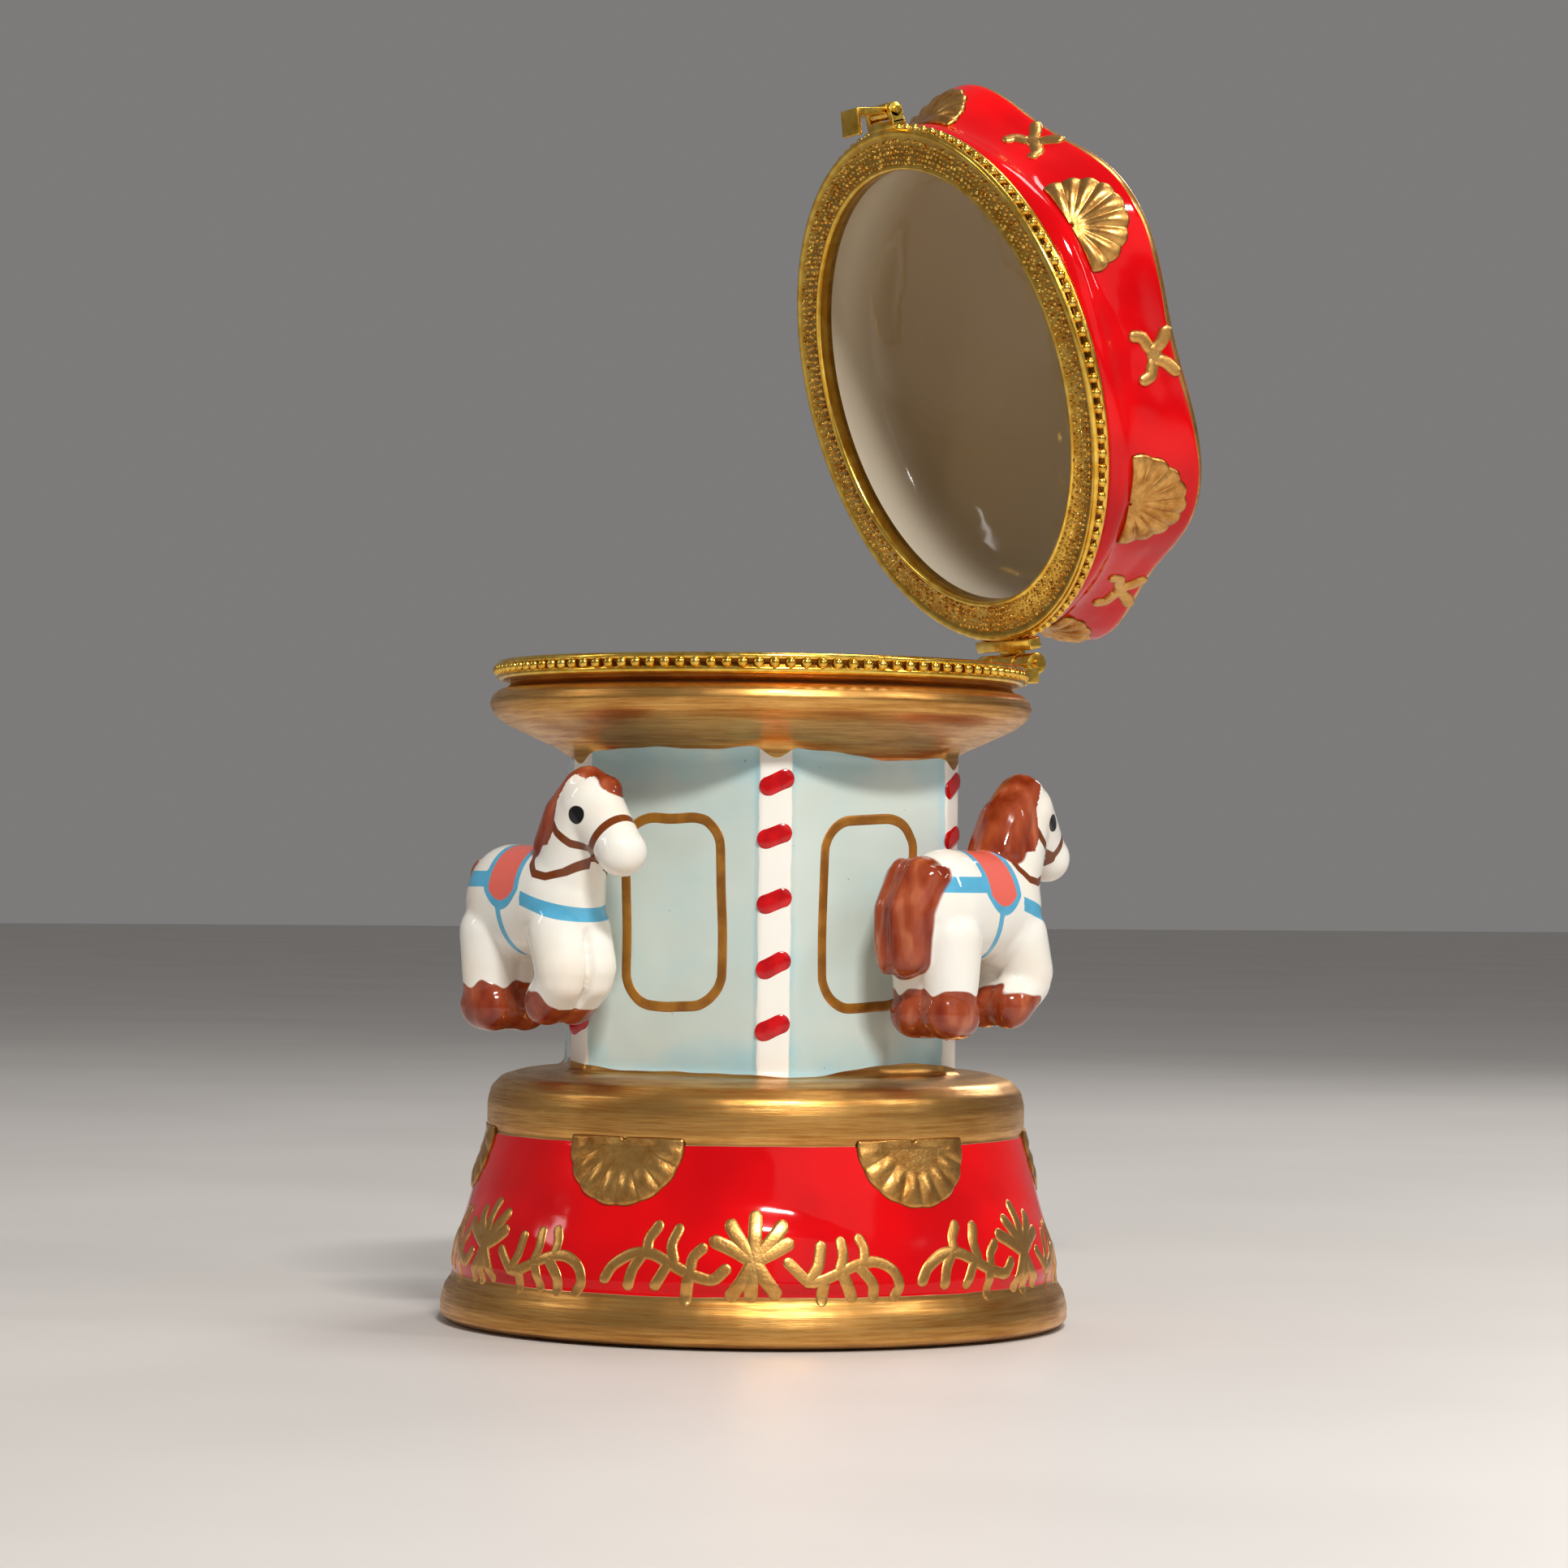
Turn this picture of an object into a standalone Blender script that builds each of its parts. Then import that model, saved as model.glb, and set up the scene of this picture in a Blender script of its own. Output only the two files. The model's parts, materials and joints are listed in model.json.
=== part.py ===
"""Carousel music box: a porcelain carousel with a hinged roof lid over a wound musical movement.

Lengths are in millimetres here, and MM turns them into Blender's metres when a mesh is made.
Origin: centre of the foot, on the plane it rests on. +Z is up, the lid's hinge is at +Y and its
clasp at -Y. The lid is drawn closed, and an empty on the hinge axis swings it open.
"""
import math

import bmesh
import bpy
from mathutils import Matrix, Vector

MM = 0.001
GAP = 0.3                      # running gap between neighbouring pieces

# Porcelain body
FOOT_R = 42.5
RING_R = 36.4
COLUMN_APOTHEM = 25.6
POST_FACE_R = 28.4
POST_AZIMUTH = 35.0            # azimuth of one corner post, in degrees; the others follow every 60
COLUMN_BOTTOM = 33.0
COLUMN_TOP = 80.0
CORNICE_R = 36.9
NECK_R = 34.1
BODY_TOP = 88.8                # top of the lower bezel, where the lid mates
CAVITY_TOP = 30.3
TRINKET_R = 21.5
TRINKET_FLOOR = 35.0
MOUTH_R = 31.6
TURNED_STEPS = 40

# Horses
HORSE_RADIUS = 34.6
HORSE_BASE = 39.0
HORSE_AZIMUTHS = (-85.0, 27.0, 155.0)
HORSE_YAWS = (0.0, -4.0, 0.0)

# Lid, hinge and clasp
LID_OPENING = 73.6             # degrees open as it stands
LID_BASE = BODY_TOP + GAP
LID_BEZEL_R = 36.5
LID_LOBES = 6
LID_LOBE_RISE = 1.1
LID_VALLEY_DEPTH = 2.6
HINGE_Y = 40.1
HINGE_Z = 90.1
HINGE_HALF_WIDTH = 7.0
KNUCKLE_R = 1.5
HINGE_PIN_R = 0.6
CLASP_Y = -38.9
CLASP_Z = LID_BASE + 1.5
CLASP_TILT = 10.0              # degrees that the free tongue leans outward
CLASP_WIDTH = 4.5

# Base cap and key well
CAP_R = 37.3
CAP_THICKNESS = 2.4
WELL_R = 13.5
WELL_TOP = 8.8
WELL_OUTER_TOP = 10.4

# Musical movement
MOVE_X = -3.2                  # the movement's centre, moved off the box's axis
PLATE_BOTTOM = 10.8
PLATE_TOP = 12.6
SHAFT_R = 0.6
BEARING_R = SHAFT_R + GAP
ARBOR_R = 1.6
BARREL_X = MOVE_X - 13.4       # winding axis
BARREL_Y = 3.0
SPUR_MODULE = 0.4
CROWN_MODULE = 0.55
CROWN_TEETH = 40
PINION_TEETH = 16
CROWN_R = CROWN_MODULE * CROWN_TEETH / 2
CROWN_HALF_FACE = 0.75
CROWN_PITCH_Z = 15.7
DRUM_Z = CROWN_PITCH_Z + CROWN_MODULE * PINION_TEETH / 2
DRUM_R = 6.2
DRUM_START = MOVE_X + 0.5
DRUM_LENGTH = 17.6
DRUM_SECTORS = 24
NOTES = 18
NOTE_PITCH = 0.95
PIN_HEIGHT = 0.55
GEAR_TEETH = 32
IDLER_TEETH = 10
IDLER_Y = BARREL_Y + SPUR_MODULE * (GEAR_TEETH + IDLER_TEETH) / 2
GEAR_X = MOVE_X + 19.4         # middle of the drum gear and idler pinion
WORM_WHEEL_TEETH = 20
WORM_WHEEL_X = MOVE_X + 21.7
WORM_R = 1.1
WORM_Y = IDLER_Y + SPUR_MODULE * WORM_WHEEL_TEETH / 2 + WORM_R
WORM_LEAD = math.pi * SPUR_MODULE

ALONG_X = Matrix(((0, 0, 1, 0), (1, 0, 0, 0), (0, 1, 0, 0), (0, 0, 0, 1)))
ALONG_Y = Matrix(((1, 0, 0, 0), (0, 0, -1, 0), (0, 1, 0, 0), (0, 0, 0, 1)))
UPRIGHT = Matrix.Identity(4)


# ---------------------------------------------------------------- scene, materials and mesh helpers

def clear_scene():
    for item in list(bpy.data.objects):
        bpy.data.objects.remove(item, do_unlink=True)


def new_collection(name):
    group = bpy.data.collections.new(name)
    bpy.context.scene.collection.children.link(group)
    return group


def new_material(name, color, roughness, metallic=0.0):
    material = bpy.data.materials.new(name)
    material.use_nodes = True
    shader = material.node_tree.nodes["Principled BSDF"]
    shader.inputs["Base Color"].default_value = (*color, 1.0)
    shader.inputs["Roughness"].default_value = roughness
    shader.inputs["Metallic"].default_value = metallic
    return material


def place(bm, frame):
    """Move a mesh drawn in millimetres by frame, then scale it to metres."""
    bmesh.ops.transform(bm, matrix=Matrix.Scale(MM, 4) @ frame, verts=bm.verts)


def add_mesh(name, bm, material=None, group=None):
    mesh = bpy.data.meshes.new(name)
    bm.to_mesh(mesh)
    bm.free()
    item = bpy.data.objects.new(name, mesh)
    (group or PARTS).objects.link(item)
    if material:
        mesh.materials.append(material)
    mesh.shade_smooth()
    mesh.set_sharp_from_angle(angle=math.radians(35))
    return item


def hide_cutter(item, target):
    item.parent = target
    item.hide_render = True
    item.display_type = "WIRE"


def boolean(target, tool, operation):
    """Cut or join target with tool, which is kept in the cutters' collection."""
    hide_cutter(tool, target)
    modifier = target.modifiers.new(f"{operation.lower()}_{tool.name}"[:60], "BOOLEAN")
    modifier.operation = operation
    modifier.solver = "EXACT"
    modifier.object = tool
    return target


def turned(name, profile, material=None, group=None, steps=TURNED_STEPS, closed=False, at=(0, 0)):
    """Turn a (radius, height) profile, outer side first and top to bottom, about an upright axis."""
    mesh = bpy.data.meshes.new(name)
    count = len(profile)
    points = [(radius * MM, 0, height * MM) for radius, height in profile]
    edges = [(i, i + 1) for i in range(count - 1)]
    if closed:
        edges.append((count - 1, 0))
    mesh.from_pydata(points, edges, [])
    item = bpy.data.objects.new(name, mesh)
    (group or PARTS).objects.link(item)
    item.location = (at[0] * MM, at[1] * MM, 0)
    if material:
        mesh.materials.append(material)
    screw = item.modifiers.new("turn", "SCREW")
    screw.steps = steps
    screw.render_steps = steps
    screw.use_merge_vertices = True
    screw.merge_threshold = 0.00001
    screw.use_smooth_shade = True
    return item


def box_mesh(low, high):
    bm = bmesh.new()
    bmesh.ops.create_cube(bm, size=1.0)
    size = [b - a for a, b in zip(low, high)]
    middle = [(a + b) / 2 for a, b in zip(low, high)]
    bmesh.ops.transform(bm, matrix=Matrix.Translation(middle) @ Matrix.Diagonal((*size, 1)), verts=bm.verts)
    return bm


def box(name, low, high, material=None, group=None):
    bm = box_mesh(low, high)
    place(bm, UPRIGHT)
    return add_mesh(name, bm, material, group)


def rod(name, start, end, radius, material=None, group=None, segments=20):
    """A round bar from start to end."""
    start, end = Vector(start), Vector(end)
    bm = bmesh.new()
    bmesh.ops.create_cone(bm, cap_ends=True, segments=segments, radius1=radius, radius2=radius,
                          depth=(end - start).length)
    turn = (end - start).to_track_quat("Z", "Y").to_matrix().to_4x4()
    place(bm, Matrix.Translation((start + end) / 2) @ turn)
    return add_mesh(name, bm, material, group)


def plate(name, loops, low, high, frame, material=None, group=None):
    """A flat plate from closed 2D loops (outline first, then holes), low to high along frame's third axis."""
    curve = bpy.data.curves.new(name, "CURVE")
    curve.dimensions = "2D"
    curve.fill_mode = "BOTH"
    curve.extrude = (high - low) / 2
    for loop in loops:
        spline = curve.splines.new("POLY")
        spline.points.add(len(loop) - 1)
        for point, (u, v) in zip(spline.points, loop):
            point.co = (u, v, 0, 1)
        spline.use_cyclic_u = True
    outline = bpy.data.objects.new(f"{name}_outline", curve)
    bpy.context.scene.collection.objects.link(outline)
    bpy.context.view_layer.update()
    evaluated = outline.evaluated_get(bpy.context.evaluated_depsgraph_get())
    solid = bpy.data.meshes.new_from_object(evaluated)
    bm = bmesh.new()
    bm.from_mesh(solid)
    bpy.data.objects.remove(outline, do_unlink=True)
    bpy.data.meshes.remove(solid)
    bmesh.ops.remove_doubles(bm, verts=bm.verts, dist=0.001)
    bmesh.ops.recalc_face_normals(bm, faces=bm.faces)
    place(bm, frame @ Matrix.Translation((0, 0, (low + high) / 2)))
    return add_mesh(name, bm, material, group)


def circle(u, v, radius, segments=16):
    return [(u + radius * math.cos(2 * math.pi * i / segments),
             v + radius * math.sin(2 * math.pi * i / segments)) for i in range(segments)]


def rounded_rectangle(low_u, low_v, high_u, high_v, radius, segments=4):
    corners = ((high_u - radius, high_v - radius, 0), (low_u + radius, high_v - radius, 90),
               (low_u + radius, low_v + radius, 180), (high_u - radius, low_v + radius, 270))
    loop = []
    for u, v, start in corners:
        for i in range(segments + 1):
            angle = math.radians(start + 90 * i / segments)
            loop.append((u + radius * math.cos(angle), v + radius * math.sin(angle)))
    return loop


def pivot(name, location, rotation=(0, 0, 0), parent=None):
    """An empty on a joint axis, placed in the closed box's coordinates."""
    empty = bpy.data.objects.new(name, None)
    PARTS.objects.link(empty)
    empty.empty_display_size = 5 * MM
    empty.parent = parent
    offset = Vector(location) - Vector(parent["closed_place"] if parent else (0, 0, 0))
    empty.location = offset * MM
    empty.rotation_euler = rotation
    empty["closed_place"] = location
    return empty


def carry(item, empty):
    """Let the empty move a piece that was drawn in the closed box's coordinates."""
    item.parent = empty
    item.location = item.location - Vector(empty["closed_place"]) * MM
    return item


# ------------------------------------------------------------------------------- porcelain body

def column_outline():
    """A hexagon whose corners are cut flat into six corner posts."""
    loop = []
    half_post = math.degrees(math.asin((COLUMN_APOTHEM / math.cos(math.radians(30)) - POST_FACE_R)
                                       * math.tan(math.radians(60)) / POST_FACE_R))
    radius = POST_FACE_R / math.cos(math.radians(half_post))
    for i in range(6):
        for side in (-1, 1):
            angle = math.radians(POST_AZIMUTH + 60 * i + side * half_post)
            loop.append((radius * math.cos(angle), radius * math.sin(angle)))
    return loop


def build_body(glaze):
    skirt = [(0, 33.7), (26.0, 33.7), (31.5, 33.5), (34.4, 32.7), (36.0, 31.2), (RING_R, 29.2),
             (RING_R, 26.2), (36.1, 25.2), (36.9, 22.6), (38.2, 17.8), (40.3, 10.1), (41.0, 5.8),
             (41.9, 4.6), (FOOT_R, 2.6), (FOOT_R, 0.8), (41.9, 0), (0, 0)]
    body = turned("body_shell", skirt, glaze)
    column = plate("column_block", [column_outline()], COLUMN_BOTTOM, COLUMN_TOP, UPRIGHT, group=CUTTERS)
    boolean(body, column, "UNION")
    cornice = [(0, 87.7), (NECK_R, 87.7), (NECK_R, 85.8), (34.5, 85.2), (35.8, 84.8), (36.6, 84.0),
               (CORNICE_R, 83.0), (36.4, 81.6), (34.6, 80.3), (31.6, 78.9), (29.4, 77.8), (28.0, 76.6),
               (27.2, 75.2), (0, 75.2)]
    boolean(body, turned("cornice_block", cornice, group=CUTTERS), "UNION")
    cavity = [(0, CAVITY_TOP), (32.4, CAVITY_TOP), (32.8, 25), (34.6, 18), (36.2, 10),
              (36.2, CAP_THICKNESS + GAP), (CAP_R + GAP, CAP_THICKNESS + GAP), (CAP_R + GAP, -5), (0, -5)]
    boolean(body, turned("movement_cavity", cavity, group=CUTTERS), "DIFFERENCE")
    trinket = [(0, 95), (MOUTH_R, 95), (MOUTH_R, 83.5), (29.4, 80.2), (24.2, 77.0), (22.0, 73.5),
               (TRINKET_R, 68), (TRINKET_R, TRINKET_FLOOR + 3), (TRINKET_R - 3, TRINKET_FLOOR),
               (0, TRINKET_FLOOR)]
    return boolean(body, turned("trinket_cavity", trinket, group=CUTTERS), "DIFFERENCE")


def build_base_cap(plastic):
    cap = turned("base_cap", [(0, CAP_THICKNESS), (CAP_R, CAP_THICKNESS), (CAP_R, 0), (0, 0)], plastic)
    cup = rod("well_cup", (BARREL_X, BARREL_Y, 0.5), (BARREL_X, BARREL_Y, WELL_OUTER_TOP), WELL_R + 1.6,
              group=CUTTERS, segments=40)
    boolean(cap, cup, "UNION")
    well = rod("well_hollow", (BARREL_X, BARREL_Y, -5), (BARREL_X, BARREL_Y, WELL_TOP), WELL_R,
               group=CUTTERS, segments=40)
    boolean(cap, well, "DIFFERENCE")
    hole = rod("cap_arbor_hole", (BARREL_X, BARREL_Y, 0), (BARREL_X, BARREL_Y, 15), ARBOR_R + 0.6,
               group=CUTTERS)
    boolean(cap, hole, "DIFFERENCE")
    for i, (x, y) in enumerate(plate_screw_places()):
        hole = rod(f"cap_screw_hole_{i + 1}", (x, y, 0), (x, y, 15), 1.3, group=CUTTERS, segments=14)
        boolean(cap, hole, "DIFFERENCE")
    return cap


def ring_profile(outer, neck, inner, low, high):
    """Section of a rolled channel ring that caps a porcelain rim: low is its open edge."""
    step = 0.4 if high > low else -0.4
    return [(outer - 0.4, high), (outer, high - step), (outer, low + 3 * step), (outer - 1.0, low),
            (neck + GAP, low), (neck + GAP, high - 2 * step), (inner + 0.6, high - 2 * step),
            (inner + 0.6, low + step), (inner, low + step), (inner, high - step), (inner + 0.4, high)]


def build_bezels(brass, lid_pivot):
    turned("lower_bezel", ring_profile(36.0, NECK_R, 30.7, 86.0, BODY_TOP), brass, closed=True)
    section = ring_profile(LID_BEZEL_R, NECK_R + 0.2, 30.7, LID_BASE + 2.8, LID_BASE)
    upper = turned("upper_bezel", section[::-1], brass, closed=True)
    carry(upper, lid_pivot)


# --------------------------------------------------------------------------------------- lid

def build_lid(glaze, lid_pivot):
    """The roof: a turned shell whose wall swells into six lobes at its scalloped edge."""
    outer = [(0, 31.0), (1.5, 30.6), (2.5, 29.4), (2.6, 28.2), (2.1, 27.0), (1.6, 26.2), (2.0, 25.4),
             (4.5, 24.5), (9, 23.0), (18, 20.6), (28, 18.2), (35.4, 16.5), (38.4, 15.7), (39.0, 14.8),
             (38.6, 13.4), (37.4, 11.0), (36.2, 8.4), (35.7, 6.6), (36.0, 5.0), (35.4, 3.4), (NECK_R + 0.2, 3.1),
             (NECK_R + 0.2, 1.1)]
    inner = [(MOUTH_R, 1.1), (31.8, 3.0), (32.2, 6.5), (31.6, 10.0), (28.6, 13.4), (22, 16.2),
             (13, 18.2), (0, 19.4)]
    profile = [(radius, LID_BASE + height) for radius, height in outer + inner]
    blank = turned("lid_blank", profile, group=CUTTERS)
    bpy.context.view_layer.update()
    mesh = bpy.data.meshes.new_from_object(blank.evaluated_get(bpy.context.evaluated_depsgraph_get()))
    bpy.data.objects.remove(blank, do_unlink=True)
    bm = bmesh.new()
    bm.from_mesh(mesh)
    bpy.data.meshes.remove(mesh)
    for vertex in bm.verts:
        radius = math.hypot(vertex.co.x, vertex.co.y) / MM
        height = vertex.co.z / MM - LID_BASE
        if radius > 33.0 and height > 3.2:
            reach = min(1.0, (height - 3.2) / 9.0) * min(1.0, (radius - 33.0) / 3.0)
            azimuth = math.atan2(vertex.co.y, vertex.co.x)
            valley = 0.5 + 0.5 * math.cos(LID_LOBES * azimuth)
            swell = reach * (LID_LOBE_RISE - (LID_LOBE_RISE + LID_VALLEY_DEPTH) * valley)
            vertex.co.xy *= (radius + swell) / radius
    lid = add_mesh("lid_shell", bm, glaze)
    return carry(lid, lid_pivot)


def build_hinge(brass, lid_pivot):
    """Two leaves on one pin: end knuckles on the body's leaf, one knuckle on the lid's leaf."""
    width = HINGE_HALF_WIDTH
    inner = 3.2
    lower = box("hinge_lower_leaf", (-width, 36.4, 86.9), (width, 38.6, 88.5), brass)
    for side in (-1, 1):
        ends = sorted((side * inner, side * width))
        arm = box(f"lower_arm_{side + 2}", (ends[0], 37.6, 87.3), (ends[1], 40.5, 89.4), group=CUTTERS)
        boolean(lower, arm, "UNION")
        knuckle = rod(f"lower_knuckle_{side + 2}", (ends[0], HINGE_Y, HINGE_Z), (ends[1], HINGE_Y, HINGE_Z),
                      KNUCKLE_R, group=CUTTERS)
        boolean(lower, knuckle, "UNION")
    bore = rod("lower_bore", (-10, HINGE_Y, HINGE_Z), (10, HINGE_Y, HINGE_Z), HINGE_PIN_R + GAP, group=CUTTERS)
    boolean(lower, bore, "DIFFERENCE")
    rod("hinge_pin", (-width - 0.6, HINGE_Y, HINGE_Z), (width + 0.6, HINGE_Y, HINGE_Z), HINGE_PIN_R, brass,
        segments=14)
    upper = box("hinge_upper_leaf", (-width, 36.9, LID_BASE + 0.4), (width, 38.1, LID_BASE + 2.4), brass)
    reach = inner - GAP - 0.2
    arm = box("upper_arm", (-reach, 37.2, LID_BASE + 1.3), (reach, 40.3, LID_BASE + 2.3), group=CUTTERS)
    boolean(upper, arm, "UNION")
    knuckle = rod("upper_knuckle", (-reach, HINGE_Y, HINGE_Z), (reach, HINGE_Y, HINGE_Z), KNUCKLE_R,
                  group=CUTTERS)
    boolean(upper, knuckle, "UNION")
    bore = rod("upper_bore", (-10, HINGE_Y, HINGE_Z), (10, HINGE_Y, HINGE_Z), HINGE_PIN_R + GAP, group=CUTTERS)
    boolean(upper, bore, "DIFFERENCE")
    carry(upper, lid_pivot)


def build_clasp(brass, lid_pivot):
    """A lug on the lid's bezel and a hooked tongue that swings on a pin through it."""
    half = CLASP_WIDTH / 2
    lug = box("clasp_lug", (-half - 1.2, -37.4, LID_BASE + 0.4), (half + 1.2, -36.8, LID_BASE + 2.6), brass)
    for side in (-1, 1):
        ends = sorted((side * (half + GAP), side * (half + 1.2)))
        ear = box(f"clasp_ear_{side + 2}", (ends[0], -40.0, LID_BASE + 0.4), (ends[1], -37.0, LID_BASE + 2.6),
                  group=CUTTERS)
        boolean(lug, ear, "UNION")
    bore = rod("lug_bore", (-9, CLASP_Y, CLASP_Z), (9, CLASP_Y, CLASP_Z), 0.8, group=CUTTERS, segments=14)
    boolean(lug, bore, "DIFFERENCE")
    carry(lug, lid_pivot)
    pin = rod("clasp_pin", (-half - 1.6, CLASP_Y, CLASP_Z), (half + 1.6, CLASP_Y, CLASP_Z), 0.5, brass,
              segments=12)
    carry(pin, lid_pivot)
    clasp_pivot = pivot("clasp_pivot", (0, CLASP_Y, CLASP_Z), (math.radians(-CLASP_TILT), 0, 0), lid_pivot)
    hook = LID_BASE - 4.1
    tongue = box("clasp_tongue", (-half, CLASP_Y - 0.5, hook), (half, CLASP_Y + 0.5, CLASP_Z), brass)
    eye = rod("tongue_eye", (-half, CLASP_Y, CLASP_Z), (half, CLASP_Y, CLASP_Z), 1.15, group=CUTTERS)
    boolean(tongue, eye, "UNION")
    barb = box("tongue_barb", (-half, CLASP_Y - 0.3, hook), (half, -35.7, hook + 0.6), group=CUTTERS)
    boolean(tongue, barb, "UNION")
    bore = rod("tongue_bore", (-9, CLASP_Y, CLASP_Z), (9, CLASP_Y, CLASP_Z), 0.8, group=CUTTERS, segments=14)
    boolean(tongue, bore, "DIFFERENCE")
    carry(tongue, clasp_pivot)


# -------------------------------------------------------------------------------------- horses

def horse_limbs():
    """Tapered limbs of a toy horse that faces +X with its feet near z = 0: start, end, radii, width factor."""
    limbs = [((-7.2, 0, 17.3), (4.6, 0, 17.5), 7.6, 7.1, 0.77),
             ((5.6, 0, 15.0), (6.1, 0.2, 20.0), 5.9, 5.5, 0.90),
             ((6.6, 0.2, 20.5), (10.0, 0.4, 28.4), 5.3, 4.8, 0.86),
             ((11.2, 0.5, 29.6), (16.4, 1.0, 25.2), 4.8, 3.6, 0.86),
             ((17.4, 1.1, 24.2), (17.8, 1.1, 23.9), 3.3, 3.3, 1.0),
             ((13.8, 1.5, 31.9), (10.6, 0.8, 32.4), 1.9, 2.5, 1.0),
             ((10.6, 0.4, 32.4), (7.0, 0.3, 28.8), 2.7, 3.2, 1.25),
             ((7.0, 0.3, 28.8), (4.6, 0.2, 24.6), 3.2, 3.2, 1.3),
             ((-12.0, 1.2, 21.0), (-14.3, 1.5, 16.8), 2.8, 2.6, 1.7),
             ((-14.3, 1.5, 16.8), (-14.5, 1.5, 10.4), 2.6, 2.3, 1.7),
             ((-9.8, 0, 3.2), (-8.0, 0, 3.2), 3.1, 3.1, 1.0),
             ((6.8, 0, 5.2), (5.2, 0, 4.2), 2.9, 2.8, 1.0)]
    for side in (-1, 1):
        limbs += [((-9.0, 1.8 * side, 13.0), (-9.0, 2.4 * side, 4.0), 4.7, 3.4, 1.0),
                  ((-10.0, 2.4 * side, 3.4), (-7.8, 2.4 * side, 3.2), 3.4, 3.3, 1.0),
                  ((7.0, 1.5 * side, 13.5), (8.7, 1.8 * side, 8.8), 4.3, 3.9, 1.0),
                  ((8.7, 1.9 * side, 7.4), (5.0, 2.0 * side, 4.2), 3.5, 3.1, 1.0)]
    return limbs


def limb_mesh(bm, start, end, start_radius, end_radius, width):
    """Add a tapered round-ended limb, its width along Y scaled about its own middle line."""
    start, end = Vector(start), Vector(end)
    axis = end - start
    turn = axis.to_track_quat("Z", "Y").to_matrix().to_4x4()
    made = bmesh.ops.create_uvsphere(bm, u_segments=16, v_segments=10, radius=1.0)["verts"]
    for vertex in made:
        radius = end_radius if vertex.co.z > 0 else start_radius
        offset = turn @ (vertex.co * radius)
        offset.y *= width
        vertex.co = (end if vertex.co.z > 0 else start) + offset


def build_horse(name, azimuth, yaw, glaze):
    bm = bmesh.new()
    for start, end, start_radius, end_radius, width in horse_limbs():
        limb_mesh(bm, start, end, start_radius, end_radius, width)
    place(bm, UPRIGHT)
    horse = add_mesh(name, bm, glaze)
    angle = math.radians(azimuth)
    horse.location = (HORSE_RADIUS * MM * math.cos(angle), HORSE_RADIUS * MM * math.sin(angle), HORSE_BASE * MM)
    horse.rotation_euler = (0, 0, angle + math.radians(90 + yaw))
    remesh = horse.modifiers.new("one_skin", "REMESH")
    remesh.mode = "VOXEL"
    remesh.voxel_size = 0.8 * MM
    smooth = horse.modifiers.new("soften", "SMOOTH")
    smooth.factor = 0.5
    smooth.iterations = 4
    thin = horse.modifiers.new("thin_out", "DECIMATE")
    thin.ratio = 0.06
    return horse


# ----------------------------------------------------------------------------- musical movement

def gear_loop(teeth, module, root_drop, tip_rise, thickness=0.40, phase=0.0):
    """Outline of a spur gear; a tooth is centred on the phase angle, in degrees."""
    pitch_r = module * teeth / 2
    pitch = 360.0 / teeth
    loop = []
    for i in range(teeth):
        centre = phase + i * pitch
        for radius, half in ((pitch_r - root_drop, 0.56), (pitch_r + tip_rise, 0.24)):
            loop.append((radius, centre - half * thickness * pitch * (1.0 + 0.1 * (half > 0.5))))
        for radius, half in ((pitch_r + tip_rise, 0.24), (pitch_r - root_drop, 0.56)):
            loop.append((radius, centre + half * thickness * pitch * (1.0 + 0.1 * (half > 0.5))))
    return [(r * math.cos(math.radians(a)), r * math.sin(math.radians(a))) for r, a in loop]


def plate_screw_places():
    """Three screws round the winding axis hold the movement to the cap."""
    angles = (95, 215, 335)
    return [(BARREL_X + 11.0 * math.cos(math.radians(a)), BARREL_Y + 11.0 * math.sin(math.radians(a)))
            for a in angles]


def screw(name, x, y, seat, tip, head_r, head_height, shank_r, material):
    """A slotted screw: its head sits on seat, and its shank runs to tip."""
    up = 1 if tip < seat else -1
    top = seat + up * head_height
    profile = [(0, top), (head_r - 0.3, top), (head_r, top - up * 0.3), (head_r, seat), (shank_r, seat),
               (shank_r, tip), (0, tip)]
    if up < 0:
        profile.reverse()
    item = turned(name, profile, material, steps=16, at=(x, y))
    slot = box(f"{name}_slot", (-head_r - 1, -0.25, min(top - up * 0.5, top + up)),
               (head_r + 1, 0.25, max(top - up * 0.5, top + up)), group=CUTTERS)
    return boolean(item, slot, "DIFFERENCE")


def build_bedplate(metal):
    outline = rounded_rectangle(MOVE_X - 26, -19, MOVE_X + 24, 19, 5)
    holes = [circle(BARREL_X, BARREL_Y, ARBOR_R + 0.6)]
    holes += [circle(x, y, 1.3, 12) for x, y in plate_screw_places()]
    holes.append(circle(MOVE_X + 15.6, 15.2, 1.2, 12))
    bed = plate("movement_bedplate", [outline] + holes, PLATE_BOTTOM, PLATE_TOP, UPRIGHT, metal)
    pad = box("comb_pad", (MOVE_X - 0.3, -18.0, PLATE_BOTTOM + 0.5), (MOVE_X + 18.7, -11.6, 19.3), group=CUTTERS)
    boolean(bed, pad, "UNION")
    for i, x in enumerate(comb_screw_places()):
        hole = rod(f"pad_hole_{i + 1}", (x, -15.0, 14.6), (x, -15.0, 25), 1.2, group=CUTTERS, segments=12)
        boolean(bed, hole, "DIFFERENCE")


def comb_screw_places():
    return (MOVE_X + 4.4, MOVE_X + 14.0)


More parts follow.
